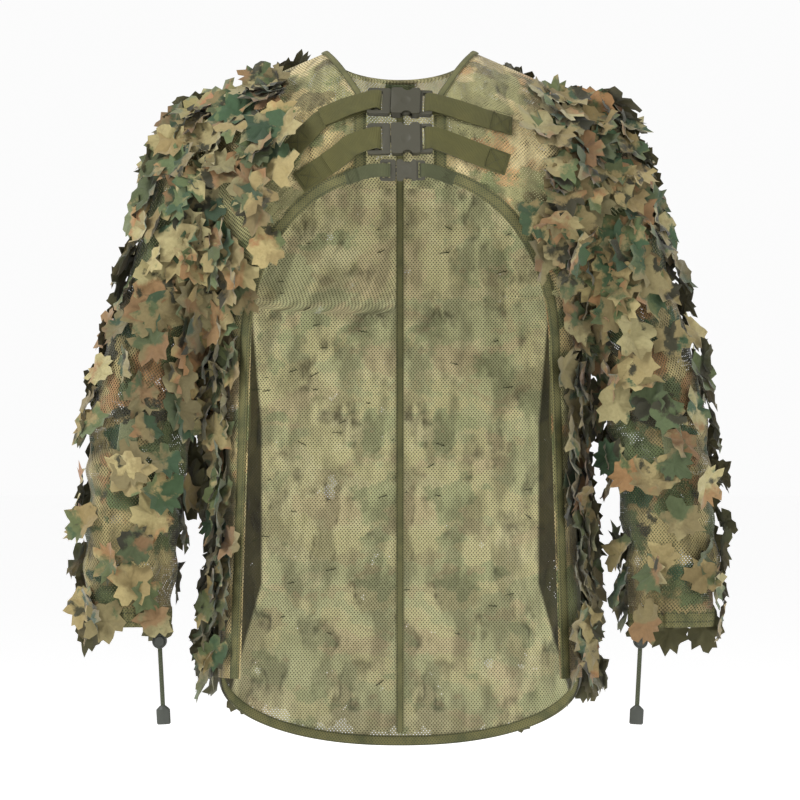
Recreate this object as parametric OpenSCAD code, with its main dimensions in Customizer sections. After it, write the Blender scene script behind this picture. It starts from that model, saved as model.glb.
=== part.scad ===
// Hooded-style camouflage jacket of open mesh covered with cut leaves: an open arch front that
// closes at the breastbone with three side-release buckles. Millimetres, +Z up, front towards -Y.
// The origin is midway between the two neck points of the shoulder line, where a wearer carries it.

/* [Torso] */
// Half the width of the neck opening at the shoulder line
neck_half = 82; // [74:1:92]
// Half the width across the shoulders, to the armhole
shoulder_half = 212; // [200:1:225]
// Fall of the shoulder line from the neck to the armhole
shoulder_drop = 56; // [40:1:70]
// Depth of the armpit below the neck points
armpit_drop = 274; // [260:1:290]
// Half the width of the body at the armpit
chest_half = 203; // [196:1:210]
// How far the front stands forward of the shoulder line
front_depth = 128; // [110:1:140]
// How far the back stands behind the shoulder line
back_depth = 118; // [100:1:130]
// Drop of the side hem below the neck points
side_hem_drop = 702; // [660:1:720]
// Drop of the longest point of the rounded tail
tail_drop = 782; // [750:1:800]
// Thickness of the mesh cloth
cloth = 2; // [1.6:0.1:2.4]

/* [Front opening] */
// Half the gap between the two front edges
gap_half = 38; // [36:1:42]
// Drop where the front edges meet the arch
arch_drop = 148; // [144:1:154]
// Drop where the arch becomes the straight front edge
arch_foot_drop = 340; // [320:1:360]
// Half the width of the open arch
arch_half = 166; // [155:1:172]
// Depth of the V of the neck at the front edges
vee_drop = 58; // [50:1:66]
// Depth of the neckline at the middle of the back
back_neck_drop = 28; // [20:1:34]
// Drop of the seam between the back yoke and the lower back
yoke_drop = 150; // [140:1:160]

/* [Sleeves] */
// Drop of the cuff below the neck points
cuff_drop = 640; // [620:1:660]
// Width of the drawcord casing round the cuff
casing = 22; // [18:1:26]

/* [Trim] */
// Width of the bindings on the arch, the front edges and the tail
binding = 14; // [10:1:18]
// Width of the webbing of the two large buckles
webbing = 25; // [24:1:26]
// Thickness of the webbing
web_thick = 1.5; // [1.2:0.1:1.6]
// Diameter of the elastic drawcord
cord_d = 5; // [4:0.1:5.2]
// Length of the cord that hangs from each cuff
cord_free = 100; // [90:1:110]
// Size of one cut leaf, from lobe to lobe
leaf_size = 46; // [40:1:50]

/* [Hidden] */
$fn = 32;

// Gap between two cloth pieces that are sewn edge to edge.
seam = 0.6;
// Gap between layers that lie on each other, and the same where both are curved.
lay = 0.4;
sewn = 1.4;
// How far behind the origin the shoulder line runs.
ridge_y = 5;
// Width of the tape that binds the neck.
neck_tape = 7;
// Half the depth of the armhole.
armhole_half = 67;
armhole_mid = (shoulder_drop + armpit_drop) / 2;
armhole_tall = (armpit_drop - shoulder_drop) / 2;
// Superellipse powers of the body's cross-section, front and back.
front_power = 2.3;
back_power = 3.6;
// How far below the shoulder line the chest and the back reach their full depth.
front_roll = 120;
back_roll = 95;

// Stations down the sleeve: inner x, inner drop, outer x, outer drop, half depth, middle y.
// The first is the armhole and the last is the cuff.
STATIONS = [
    [chest_half, armpit_drop, shoulder_half, shoulder_drop, armhole_half, ridge_y],
    [205, 280, 231, 69, 68, 5],
    [208, 287, 252, 98, 68, 5],
    [211, 295, 271, 143, 68, 5],
    [215, 305, 287, 200, 67, 4],
    [220, 322, 304, 264, 66, 3],
    [227, 362, 327, 342, 64, 0],
    [234, 410, 340, 404, 61, -3],
    [245, 480, 349, 478, 56, -8],
    [254, 560, 352, 560, 50, -14],
    [259, cuff_drop, 349, cuff_drop, 42, -20]
];

// ---- Helpers ----

function mix(a, b, t) = a + (b - a) * t;
function clamp(v) = max(0, min(1, v));
function unit(v) = v / norm(v);
function flip(p, side) = [p[0] * side, p[1], p[2]];

// A closed slab between two offsets of a grid of [point, outward normal] pairs.
module slab(grid, low, high, turn = false) {
    rows = len(grid);
    cols = len(grid[0]);
    count = rows * cols;
    points = [for (h = [low, high]) for (row = grid) for (g = row) g[0] + g[1] * h];
    function at(layer, r, c) = layer * count + r * cols + c;
    faces = concat(
        [for (r = [0:rows - 2]) for (c = [0:cols - 2]) for (half = [0, 1])
            half == 0 ? [at(1, r, c), at(1, r, c + 1), at(1, r + 1, c + 1)]
                      : [at(1, r, c), at(1, r + 1, c + 1), at(1, r + 1, c)]],
        [for (r = [0:rows - 2]) for (c = [0:cols - 2]) for (half = [0, 1])
            half == 0 ? [at(0, r, c), at(0, r + 1, c + 1), at(0, r, c + 1)]
                      : [at(0, r, c), at(0, r + 1, c), at(0, r + 1, c + 1)]],
        [for (r = [0:rows - 2]) for (half = [0, 1])
            half == 0 ? [at(0, r, 0), at(1, r, 0), at(1, r + 1, 0)]
                      : [at(0, r, 0), at(1, r + 1, 0), at(0, r + 1, 0)]],
        [for (r = [0:rows - 2]) for (half = [0, 1])
            half == 0 ? [at(0, r, cols - 1), at(1, r + 1, cols - 1), at(1, r, cols - 1)]
                      : [at(0, r, cols - 1), at(0, r + 1, cols - 1), at(1, r + 1, cols - 1)]],
        [for (c = [0:cols - 2]) for (half = [0, 1])
            half == 0 ? [at(0, 0, c), at(0, 0, c + 1), at(1, 0, c + 1)]
                      : [at(0, 0, c), at(1, 0, c + 1), at(1, 0, c)]],
        [for (c = [0:cols - 2]) for (half = [0, 1])
            half == 0 ? [at(0, rows - 1, c), at(1, rows - 1, c + 1), at(0, rows - 1, c + 1)]
                      : [at(0, rows - 1, c), at(1, rows - 1, c), at(1, rows - 1, c + 1)]]
    );
    polyhedron(points, turn ? [for (f = faces) [f[0], f[2], f[1]]] : faces);
}

// A frame whose axes are x, y and z and whose origin is p.
module frame_at(p, x, y, z) {
    multmatrix([
        [x[0], y[0], z[0], p[0]],
        [x[1], y[1], z[1], p[1]],
        [x[2], y[2], z[2], p[2]],
        [0, 0, 0, 1]
    ]) children();
}

// ---- Shape of the body: front is -1 and back is +1, and d is the drop below the neck points ----

function body_half(d) =
    d < armpit_drop
    ? mix(shoulder_half, chest_half, clamp((d - shoulder_drop) / (armpit_drop - shoulder_drop)))
    : chest_half - 7 * sin(180 * clamp((d - armpit_drop) / 330)) + 3 * clamp((d - 600) / 180);
function ridge_drop(x) = shoulder_drop * clamp((x - neck_half) / (shoulder_half - neck_half));
function roll(t, reach) =
    let (s = clamp(t / reach)) pow(max(0, 1 - pow(1 - s, 1.6)), 1 / 1.6);
function armhole_y(d) =
    armhole_half * sqrt(max(0, 1 - pow((d - armhole_mid) / armhole_tall, 2)));
function depth_of(face, d) =
    face < 0 ? front_depth - 8 * clamp((d - 300) / 300) : back_depth + 6 * clamp((d - 450) / 250);
function body_y(face, x, d) =
    let (power = face < 0 ? front_power : back_power,
         share = min(1, x / body_half(d)),
         bow = pow(max(0, 1 - pow(share, power)), 1 / power),
         edge = armhole_y(d),
         full = edge + (depth_of(face, d) - edge) * bow)
    ridge_y + face * full * roll(d - ridge_drop(x), face < 0 ? front_roll : back_roll);
function body_point(face, side, x, d) = [side * x, body_y(face, x, d), -d];
function body_normal(face, side, x, d) =
    let (step = 0.5,
         xa = min(x, body_half(d) - 2 * step),
         da = max(d, ridge_drop(xa) + 2),
         across = body_point(face, 1, xa + step, da) - body_point(face, 1, xa - step, da),
         down = body_point(face, 1, xa, da + step) - body_point(face, 1, xa, da - step))
    flip(unit(cross(across, down) * face), side);
function on_body(face, side, x, d) = [body_point(face, side, x, d), body_normal(face, side, x, d)];

// Inner edge of each front piece: the V of the neck, the front edge, the arch, then straight down.
function arch_x(d) =
    arch_half * pow(max(0, 1 - pow((arch_foot_drop - d) / (arch_foot_drop - arch_drop + 6), 2.2)), 1 / 2.2);
function front_edge_x(d) =
    d < vee_drop ? mix(neck_half, gap_half, pow(d / vee_drop, 0.8))
    : d < arch_drop ? gap_half
    : d < arch_foot_drop ? max(gap_half, arch_x(d))
    : arch_half + 12 * (d - arch_foot_drop) / (side_hem_drop - arch_foot_drop);
// Outer edge of the upper body: the shoulder line, then the armhole or the side seam.
function outer_x(d) =
    d < shoulder_drop ? mix(neck_half, shoulder_half, d / shoulder_drop) : body_half(d);
// Half the width of the rounded tail.
function tail_x(d) =
    let (s = clamp((d - side_hem_drop) / (tail_drop + 3 - side_hem_drop)))
    body_half(d) * pow(max(0, 1 - pow(s, 2.2)), 1 / 2.2);
function back_inner_x(d) =
    d < back_neck_drop ? neck_half * sqrt(1 - pow(d / back_neck_drop, 2)) : 0;

// A grid over the body between two edges, with its columns closer together near the side.
function body_grid(face, side, drops, inner, outer, cols, gap_in, gap_out) =
    [for (k = [0:len(drops) - 1]) let (d = drops[k], a = inner[k] + gap_in, b = outer[k] - gap_out)
        [for (c = [0:cols]) on_body(face, side, mix(a, b, sin(90 * c / cols)), d)]];

module body_piece(face, side, drops, inner, outer, cols, gap_in = 0, gap_out = seam / 2) {
    slab(body_grid(face, side, drops, inner, outer, cols, gap_in, gap_out), -cloth, 0,
         turn = face * side > 0);
}

// ---- Torso cloth ----

module back_yoke() {
    drops = [0.1, 1, 4, 10, 18, 24, back_neck_drop + 0.5, 36, 46, 58, 74, 92, 110, 130, yoke_drop - seam];
    color("#7d7a52")
        for (side = [-1, 1])
            body_piece(1, side, drops, [for (d = drops) back_inner_x(d)],
                       [for (d = drops) outer_x(d)], 12, seam / 2);
}

module back_panel(side) {
    drops = [for (d = [yoke_drop:26:side_hem_drop - 6]) d];
    tail = [for (s = [0:0.125:1]) side_hem_drop + (tail_drop - side_hem_drop) * sin(90 * s)];
    all = concat(drops, tail);
    color("#8a8659")
        body_piece(1, side, all, [for (d = all) 0], [for (d = all) tail_x(d)], 14, seam / 2);
}

module back_seam_tape() {
    drops = [for (d = [back_neck_drop + 4:25:tail_drop - 18]) d];
    grid = [for (d = drops) [for (x = [-7, 0, 7])
        let (g = on_body(1, 1, abs(x), d)) [flip(g[0], sign(x)), [0, g[1][1], g[1][2]]]]];
    color("#4f5836") slab([for (row = grid) [for (i = [0:2])
        [[[-7, 0, 7][i], row[i][0][1], row[i][0][2]], row[i][1]]]],
        -cloth - lay - 1, -cloth - lay, turn = true);
}

module front_yoke(side) {
    drops = [0.1, 1, 4, 10, 20, 32, 46, vee_drop + 0.5, 72, 90, 110, 130, arch_drop - 1, arch_drop + 6,
             168, 186, 208, 232, 254, armpit_drop - seam];
    color("#8a8154")
        body_piece(-1, side, drops, [for (d = drops) front_edge_x(d)],
                   [for (d = drops) outer_x(d)], 12);
}

module side_panel(side) {
    drops = [for (d = [armpit_drop:25:side_hem_drop - 1]) d];
    color("#8a8154")
        body_piece(-1, side, drops, [for (d = drops) front_edge_x(d)],
                   [for (d = drops) body_half(d)], 8);
}

// A band of one width that follows an edge given as [x, d] points and lies on the outside.
// inward is 1 where the cloth is on the right of the edge as it runs, and -1 where it is on the left.
module edge_band(face, side, edge, width, inward, start = 0) {
    last = len(edge) - 1;
    grid = [for (k = [0:last])
        let (along = unit(edge[min(last, k + 1)] - edge[max(0, k - 1)]),
             across = [-along[1], along[0]] * inward)
        [for (w = [start, start + width / 2, start + width])
            let (q = edge[k] + across * w, x = min(abs(q[0]), body_half(q[1]) - 1))
            on_body(face, side, x, q[1])]];
    slab(grid, sewn, sewn + 1.2, turn = inward * side * face < 0);
}

module arch_binding(side) {
    arch = [for (d = [arch_drop - 1.5, arch_drop, 154, 164, 178, 196, 220, 250, 290, arch_foot_drop])
        [front_edge_x(d) + (d < arch_drop ? 4 : 0), d]];
    front = [for (d = [arch_foot_drop + 40:40:side_hem_drop - 4]) [front_edge_x(d), d]];
    color("#56603a") edge_band(-1, side, concat(arch, front), binding, -1, start = 0.5);
}

module neck_binding() {
    vee = [for (d = [6, 12, 20, 30, 42, vee_drop]) [front_edge_x(d), d]];
    back = [for (a = [8:12:80]) [neck_half * cos(a), back_neck_drop * sin(a)]];
    color("#56603a") for (side = [-1, 1]) {
        edge_band(-1, side, vee, neck_tape, -1, start = 0.5);
        edge_band(1, side, back, neck_tape, -1, start = 0.5);
    }
}

module tail_binding() {
    edge = [for (a = [2:7.6:80])
        let (d = side_hem_drop + (tail_drop - side_hem_drop) * sin(a)) [tail_x(d) - 3, d]];
    color("#6b7048") for (side = [-1, 1])
        edge_band(1, side, concat(edge, [[2, tail_drop - 1]]), binding, 1, start = -1);
}

// ---- Sleeves ----

// A point of the sleeve: station k, t round from the top, and shrink inwards.
function sleeve_at(side, k, t) =
    let (s = STATIONS[k],
         inner = [s[0], -s[1]], outer = [s[2], -s[3]],
         middle = (inner + outer) / 2, arm = (outer - inner) / 2,
         d = -(middle[1] + arm[1] * cos(t)),
         taper = k == 0 ? roll(d - shoulder_drop, front_roll) : k == 1 ? 0.5 + 0.5 * roll(d - 69, 90) : 1,
         q = middle + arm * cos(t))
    [side * q[0], s[5] - s[4] * sin(t) * taper, q[1]];
function sleeve_normal(side, k, t) =
    let (a = min(len(STATIONS) - 1, k + 1), b = max(0, k - 1),
         along = sleeve_at(1, a, t) - sleeve_at(1, b, t),
         round = sleeve_at(1, max(1, k), t + 4) - sleeve_at(1, max(1, k), t - 4))
    flip(unit(cross(along, round)) * -1, side);
function on_sleeve(side, k, t) = [sleeve_at(side, k, t), sleeve_normal(side, k, t)];
// The same between two stations.
function between(side, k, t) =
    let (low = floor(min(k, len(STATIONS) - 1.001)), share = k - low,
         a = on_sleeve(side, low, t), b = on_sleeve(side, low + 1, t))
    [mix(a[0], b[0], share), unit(mix(a[1], b[1], share))];

module sleeve_half(side, from, to) {
    last = len(STATIONS) - 1;
    ks = concat([0.02, 0.5], [for (k = [1:last]) k]);
    grid = [for (k = ks) [for (t = [from:15:to]) between(side, k, t + (t == from ? 0.4 : t == to ? -0.4 : 0))]];
    slab(grid, -cloth, 0, turn = side > 0);
}

module sleeve_outer(side) { color("#8a8154") sleeve_half(side, -90, 90); }
module sleeve_inner(side) { color("#857c52") sleeve_half(side, 90, 270); }

// A ring round the outside of the cuff, which holds the drawcord.
module cuff_casing(side) {
    last = len(STATIONS) - 1;
    length = STATIONS[last][1] - STATIONS[last - 1][1];
    ks = [for (j = [0:2]) last - casing / length * (1 - j / 2)];
    color("#5d6340") for (half = [0, 180])
        slab([for (k = ks) [for (t = [half:15:half + 180])
            between(side, k, t + (t == half ? 0.3 : t == half + 180 ? -0.3 : 0))]],
            lay, lay + 1.4, turn = side > 0);
}

// ---- Drawcord: it hangs from an eyelet at the front inner corner of the cuff ----

CORD_ANGLE = 150;
CORD_LEAN = 3;
cuff_point = sleeve_at(1, len(STATIONS) - 1, CORD_ANGLE);
// The cord leaves just inside the cuff.
cord_top = [cuff_point[0] + 5, cuff_point[1] + 4, -cuff_drop - 1];

module along_cord(side) {
    translate([side * cord_top[0], cord_top[1], cord_top[2]])
        rotate([0, side * CORD_LEAN, 0]) children();
}

module cuff_eyelet(side) {
    color("#3c3f38") along_cord(side) difference() {
        union() {
            cylinder(r = cord_d / 2 + 2.6, h = 1, center = true);
            cylinder(r = cord_d / 2 + 1.3, h = 4, center = true);
        }
        cylinder(r = cord_d / 2 + 0.4, h = 10, center = true);
    }
}

module cuff_cord(side) {
    color("#3f4434") along_cord(side)
        translate([0, 0, -cord_free + 8]) cylinder(r = cord_d / 2, h = cord_free, $fn = 16);
}

lock_drop = 12;
lock_r = 8;
plunger_r = lock_r - 2.2;
plunger_travel = 4;
// Along Y, from the open front of the barrel to its closed back.
barrel_front = -8;
barrel_back = 13;
spring_turns = 5;
spring_wire = 0.45;

module at_lock(side) {
    along_cord(side) translate([0, 0, -lock_drop - lock_r]) children();
}

// A rod along Y between two places.
module rod_y(r, from, to) {
    translate([0, from, 0]) rotate([-90, 0, 0]) cylinder(r = r, h = to - from);
}

// A barrel lock: its plunger slides along Y, across the cord.
module cord_lock(side) {
    color("#4a4c46") at_lock(side) difference() {
        union() {
            rod_y(lock_r, barrel_front, barrel_back - 1);
            rod_y(lock_r - 1, barrel_back - 1, barrel_back);
        }
        rod_y(plunger_r + 0.4, barrel_front - 1, barrel_back - 1.6);
        cylinder(r = cord_d / 2 + 0.5, h = 4 * lock_r, center = true);
    }
}

module lock_plunger(side) {
    slot = cord_d + 1;
    color("#55574f") at_lock(side) difference() {
        union() {
            rod_y(plunger_r, -13.4, 3.4);
            rod_y(plunger_r - 1, -14.4, -13.4);
        }
        for (y = [0, -plunger_travel]) translate([0, y, 0]) cylinder(d = slot, h = 4 * lock_r, center = true);
        translate([-slot / 2, -plunger_travel, -lock_r]) cube([slot, plunger_travel, 2 * lock_r]);
    }
}

// The coil behind the plunger, as one wire swept along a helix.
module lock_spring(side) {
    from = 3.4 + spring_wire + 0.1;
    to = barrel_back - 1.6 - spring_wire - 0.1;
    rings = spring_turns * 12;
    r = plunger_r - 2;
    sides = 6;
    points = [for (k = [0:rings]) for (j = [0:sides - 1])
        let (a = 360 * spring_turns * k / rings, b = 360 * j / sides, reach = r + spring_wire * cos(b))
        [reach * cos(a), from + (to - from) * k / rings + spring_wire * sin(b), reach * sin(a)]];
    faces = concat(
        [[for (j = [0:sides - 1]) j]],
        [for (k = [0:rings - 1]) for (j = [0:sides - 1]) let (n = (j + 1) % sides)
            [k * sides + j, (k + 1) * sides + j, (k + 1) * sides + n, k * sides + n]],
        [[for (j = [sides - 1:-1:0]) rings * sides + j]]
    );
    color("#9a9a94") at_lock(side) polyhedron(points, faces);
}

module cord_end(side) {
    color("#3c3f38") along_cord(side) translate([0, 0, -cord_free + 8 - 21]) {
        hull() {
            translate([0, 0, 1.5]) scale([1, 0.65, 1]) cylinder(r = 7.8, h = 15, $fn = 24);
            scale([1, 0.65, 1]) cylinder(r = 6.6, h = 18, $fn = 24);
            translate([0, 0, 20.8]) cylinder(r = 3.4, h = 0.2, $fn = 24);
        }
    }
}

// ---- Side-release buckles: a local frame with X across the chest, Y up and Z outwards ----

// Large: width, socket length, thickness. The small one is the same shape at a smaller size.
BIG = [36, 46, 10, webbing];
SMALL = [24, 32, 8, 15];
mouth_x = -10;
// Thickness of a socket's side rails.
rail = 1.7;
// Centre and radius of a prong's round root.
function prong_arm(size) = [1.6, size[0] * 0.31, size[0] * 0.055];

// Each buckle's drop, size and lean in the plane of the chest.
BUCKLES = [[66, BIG, -2], [105, BIG, 1], [137, SMALL, 0]];
stand_off = [3.2, 3.2, 3.6];

module at_buckle(i) {
    d = BUCKLES[i][0];
    p = body_point(-1, 1, 12, d);
    n0 = body_normal(-1, 1, 12, d);
    n = unit([0, n0[1], n0[2]]);
    up = cross(n, [1, 0, 0]);
    frame_at([0, p[1], p[2]] + n * stand_off[i], [1, 0, 0], up, n)
        translate([i == 2 ? -4 : mouth_x, 0, 0]) rotate([0, 0, BUCKLES[i][2]]) children();
}

module plate(x0, x1, y, z0, z1, r = 2) {
    translate([0, 0, z0]) linear_extrude(z1 - z0)
        hull() for (cx = [x0 + r, x1 - r]) for (cy = [-y + r, y - r]) translate([cx, cy]) circle(r = r, $fn = 20);
}

// The shell that the plug clicks into, with a window in each side and a bar for the webbing.
module socket(size) {
    w = size[0] / 2;
    len = size[1];
    h = size[2];
    web = size[3] / 2;
    body = len * 0.7;
    wall = h * 0.18;
    color("#5b5b55") difference() {
        union() {
            plate(0, body, w, 0, h, 3);
            plate(body - 6, len, w - 1, h * 0.12, h * 0.72, 3);
        }
        // Mouth and cavity, with rails thin enough for the barbs to pass.
        translate([-1, -w + rail, wall]) cube([body - 2.5, 2 * (w - rail), h - 2 * wall]);
        // Side windows, and the waist where the barbs stand out.
        for (s = [-1, 1]) {
            translate([body * 0.34, s > 0 ? w - 6 : -w - 1, wall]) cube([body * 0.42, 7, h - 2 * wall]);
            translate([body * 0.55, s * (w + 2.2), -1]) cylinder(r = 6, h = h + 2);
        }
        // Slot for the webbing.
        translate([body + len * 0.06, -web - 1, -1]) cube([len * 0.09, 2 * web + 2, h + 2]);
        // Shallow thumb dish in the face.
        translate([body * 0.5, 0, h + 22]) sphere(r = 22.7, $fn = 48);
    }
}

// The ladder frame and its guide tongue. The prongs are their own nodes.
module plug(size) {
    w = size[0] / 2;
    len = size[1] * 0.57;
    h = size[2];
    web = size[3] / 2;
    color("#55564f") {
        difference() {
            plate(-len, -0.6, w, h * 0.2, h * 0.8, 3);
            for (x = [-len * 0.84, -len * 0.52])
                translate([x, -web - 1, -1]) cube([len * 0.15, 2 * web + 2, h + 2]);
        }
        translate([-1.5, -w * 0.2, h * 0.3]) cube([size[1] * 0.42, w * 0.4, h * 0.4]);
    }
}

// One springy arm with its barb, which stands out through the window.
module prong(size, s) {
    w = size[0] / 2;
    h = size[2];
    body = size[1] * 0.7;
    arm = prong_arm(size);
    tip = w - rail - 0.5;
    color("#5f5f58") translate([0, 0, h * 0.26]) mirror([0, s > 0 ? 0 : 1, 0]) {
        translate([arm[0], arm[1], 0]) cylinder(r = arm[2], h = h * 0.48);
        linear_extrude(h * 0.48) polygon([
            [arm[0], arm[1] - arm[2]], [body * 0.36, arm[1] - 0.4 * arm[2]], [body * 0.66, arm[1] - arm[2]],
            [body * 0.73, arm[1] + 0.2 * arm[2]], [body * 0.67, mix(arm[1], tip, 0.7)], [body * 0.58, tip - 0.4],
            [body * 0.46, tip], [body * 0.4, tip - 0.8], [body * 0.38, arm[1] + 1.5 * arm[2]],
            [arm[0], arm[1] + arm[2]]
        ]);
    }
}

// ---- Webbing ----

// A stretch of webbing flat on the chest, from one [x, d] place to another.
module laid_strap(side, from, to, width, low) {
    steps = 6;
    along = unit(to - from);
    across = [-along[1], along[0]] * width / 2;
    grid = [for (k = [0:steps]) let (q = mix(from, to, k / steps))
        [for (w = [-1, -0.5, 0, 0.5, 1]) on_body(-1, side, q[0] + across[0] * w, q[1] + across[1] * w)]];
    slab(grid, low, low + web_thick, turn = side > 0);
}

// The webbing at the plug: under the frame, up through one slot, over the bar and down the other.
module plug_loop(size) {
    h = size[2];
    len = size[1] * 0.57;
    web = size[3];
    t = web_thick;
    bar_a = -len * 0.69 + 0.3;
    bar_b = -len * 0.52 - 0.3;
    rotate([90, 0, 0]) translate([0, 0, -web / 2]) linear_extrude(web) polygon([
        [-len - 8, h * 0.2 - 0.4 - t], [bar_b + 0.5 + t, h * 0.2 - 0.4 - t], [bar_b + 0.5 + t, h * 0.8 + 0.3 + t],
        [bar_a - 0.5 - t, h * 0.8 + 0.3 + t], [bar_a - 0.5 - t, h * 0.8 + 0.3], [bar_b + 0.5, h * 0.8 + 0.3],
        [bar_b + 0.5, h * 0.2 - 0.4], [-len - 8, h * 0.2 - 0.4]
    ]);
}

// The webbing at the socket: a loop round the end bar.
module socket_loop(size) {
    h = size[2];
    body = size[1] * 0.7;
    slot = body + size[1] * 0.06;
    web = size[3];
    t = web_thick;
    low = h * 0.12 - 0.4;
    high = h * 0.72 + 0.4;
    rotate([90, 0, 0]) translate([0, 0, -web / 2]) linear_extrude(web) polygon([
        [slot + 0.4, low - t], [size[1] + 7, low - t], [size[1] + 7, low], [slot + 0.4 + t, low],
        [slot + 0.4 + t, high], [size[1] + 7, high], [size[1] + 7, high + t], [slot + 0.4, high + t]
    ]);
}

// Straps run outwards and down from the buckles, and the adjustable side has a folded tail on top.
module upper_strap_right() {
    color("#5b5a33") {
        laid_strap(-1, [50, 68], [90, 82], webbing, 0.6);
        laid_strap(-1, [84, 78], [122, 116], webbing, 0.6);
        laid_strap(-1, [48, 66], [83, 74], webbing, 3.4);
    }
    color("#5b5a33") at_buckle(0) plug_loop(BIG);
}

module upper_strap_left() {
    color("#5b5a33") laid_strap(1, [48, 68], [124, 88], webbing, 0.6);
    color("#5b5a33") at_buckle(0) socket_loop(BIG);
}

module middle_strap_right() {
    color("#5b5a33") {
        laid_strap(-1, [50, 109], [112, 148], webbing, 0.6);
        laid_strap(-1, [48, 107], [82, 130], webbing, 3.4);
    }
    color("#5b5a33") at_buckle(1) plug_loop(BIG);
}

module middle_strap_left() {
    color("#5b5a33") laid_strap(1, [48, 107], [119, 131], webbing, 0.6);
    color("#5b5a33") at_buckle(1) socket_loop(BIG);
}

module lower_strap_right() {
    color("#4f5836") at_buckle(2) plug_loop(SMALL);
}

module lower_strap_left() {
    color("#4f5836") at_buckle(2) socket_loop(SMALL);
}

// ---- Patches, loops and tabs ----

// A flat hook-and-loop patch that stands just clear of the sleeve.
patch_wide = 20;
patch_tall = 54;
patch_station = 7.6;
patch_angle = 78;
module sleeve_patch(side) {
    g = between(side, patch_station, patch_angle);
    n = unit([g[1][0], g[1][1], 0]);
    across = cross([0, 0, 1], n);
    color("#4c5234") frame_at(g[0] + n * 3.2, across, [0, 0, 1], n)
        translate([-patch_wide / 2, -patch_tall / 2, 0]) cube([patch_wide, patch_tall, 1.6]);
}

// Short webbing loops on the back that hold cut foliage.
LOOPS = [[-1, 70, 662], [1, 118, 590], [-1, 128, 420], [1, 60, 330], [-1, 50, 250]];
module foliage_loops() {
    color("#3f5440") for (loop = LOOPS) {
        g = on_body(1, loop[0], loop[1], loop[2]);
        across = unit(cross([0, 0, 1], g[1]));
        frame_at(g[0] + g[1] * 1.2, across, cross(g[1], across), g[1])
            translate([-24, -5, 0]) cube([48, 10, 1.2]);
    }
}

// Tabs inside the flanks with a press stud at the top.
tab_x = 178;
tab_drop = 400;
module at_tab(side) {
    g = on_body(1, side, tab_x, tab_drop);
    across = unit(cross([0, 0, 1], g[1]));
    frame_at(g[0] - g[1] * (cloth + 0.8), across, cross(g[1], across), g[1]) children();
}

module inner_tabs() {
    color("#5e6044") for (side = [-1, 1]) at_tab(side)
        translate([-8, -34, -1.4]) cube([16, 66, 1.4]);
}

module inner_snaps() {
    color("#6d6c62") for (side = [-1, 1]) at_tab(side) translate([0, 24, -1.4]) {
        translate([0, 0, -1.5]) cylinder(r = 5.4, h = 1.3);
        translate([0, 0, -2.6]) cylinder(r = 3, h = 1.6);
    }
}

// ---- Leaves ----

// How far a leaf's middle stands off the cloth, and how far it leans out.
leaf_lift = 16;
leaf_tilt = 25;

// One cut leaf with pointed lobes, flat, its stalk end up.
module leaf(size) {
    r = size / 2;
    linear_extrude(1.1) polygon([
        [0, r * 0.92], [r * 0.3, r * 0.48], [r * 0.72, r * 0.62], [r * 0.62, r * 0.2], [r * 0.98, r * 0.02],
        [r * 0.56, -r * 0.2], [r * 0.6, -r * 0.66], [r * 0.2, -r * 0.5], [0, -r * 0.98], [-r * 0.24, -r * 0.5],
        [-r * 0.66, -r * 0.6], [-r * 0.54, -r * 0.14], [-r * 0.96, r * 0.08], [-r * 0.6, r * 0.26],
        [-r * 0.68, r * 0.66], [-r * 0.28, r * 0.5]
    ]);
}

module leaf_on(g, turn, size) {
    across = unit(cross([0, 0, 1], g[1]) + [0.0001, 0, 0]);
    frame_at(g[0] + g[1] * leaf_lift, across, cross(g[1], across), g[1])
        rotate([leaf_tilt, 0, turn]) leaf(size);
}

module leaves_back() {
    color("#8f8648") for (row = [0:8]) for (side = [-1, 1]) for (c = [0:2]) {
        d = 196 + row * 62;
        x = 30 + c * 56 + (row % 2) * 10;
        if (d < 690 || c < 2)
            leaf_on(on_body(1, side, x, d), 23 * row + 71 * c, leaf_size - 4);
    }
}

module leaves_yokes() {
    color("#7d7a48") for (side = [-1, 1]) for (at = [[158, 100], [176, 150], [150, 190], [182, 214]])
        leaf_on(on_body(-1, side, at[0], at[1]), at[1] * 2, leaf_size - 10);
}

module leaves_sides() {
    color("#6d7a48") for (side = [-1, 1]) for (row = [0:5])
        leaf_on(on_body(-1, side, 194 + (row % 2), 330 + row * 62), 40 * row, leaf_size - 16);
}

module leaves_sleeve(side) {
    color("#5f7243") {
        for (k = [2.6:0.9:8.9]) for (t = [-50, 0, 50])
            leaf_on(between(side, k, t + (round(k * 2) % 2) * 18), 50 * k + t, leaf_size - 4);
        for (k = [6.4:1.1:9.2]) for (t = [125, 180, 235])
            if (!(t == 125 && k < 8))
                leaf_on(between(side, k, t), 50 * k + t, leaf_size - 8);
    }
}

// ---- Assembly ----

back_yoke();
back_panel(-1);  // back_panel_right
back_panel(1);  // back_panel_left
back_seam_tape();
front_yoke(-1);  // front_yoke_right
front_yoke(1);  // front_yoke_left
side_panel(-1);  // side_panel_right
side_panel(1);  // side_panel_left
arch_binding(-1);  // arch_binding_right
arch_binding(1);  // arch_binding_left
neck_binding();
tail_binding();
sleeve_outer(-1);  // sleeve_outer_right
sleeve_outer(1);  // sleeve_outer_left
sleeve_inner(-1);  // sleeve_inner_right
sleeve_inner(1);  // sleeve_inner_left
cuff_casing(-1);  // cuff_casing_right
cuff_casing(1);  // cuff_casing_left
cuff_eyelet(-1);  // cuff_eyelet_right
cuff_eyelet(1);  // cuff_eyelet_left
cuff_cord(-1);  // cuff_cord_right
cuff_cord(1);  // cuff_cord_left
cord_lock(-1);  // cord_lock_right
cord_lock(1);  // cord_lock_left
lock_plunger(-1);  // lock_plunger_right
lock_plunger(1);  // lock_plunger_left
lock_spring(-1);  // lock_spring_right
lock_spring(1);  // lock_spring_left
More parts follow.
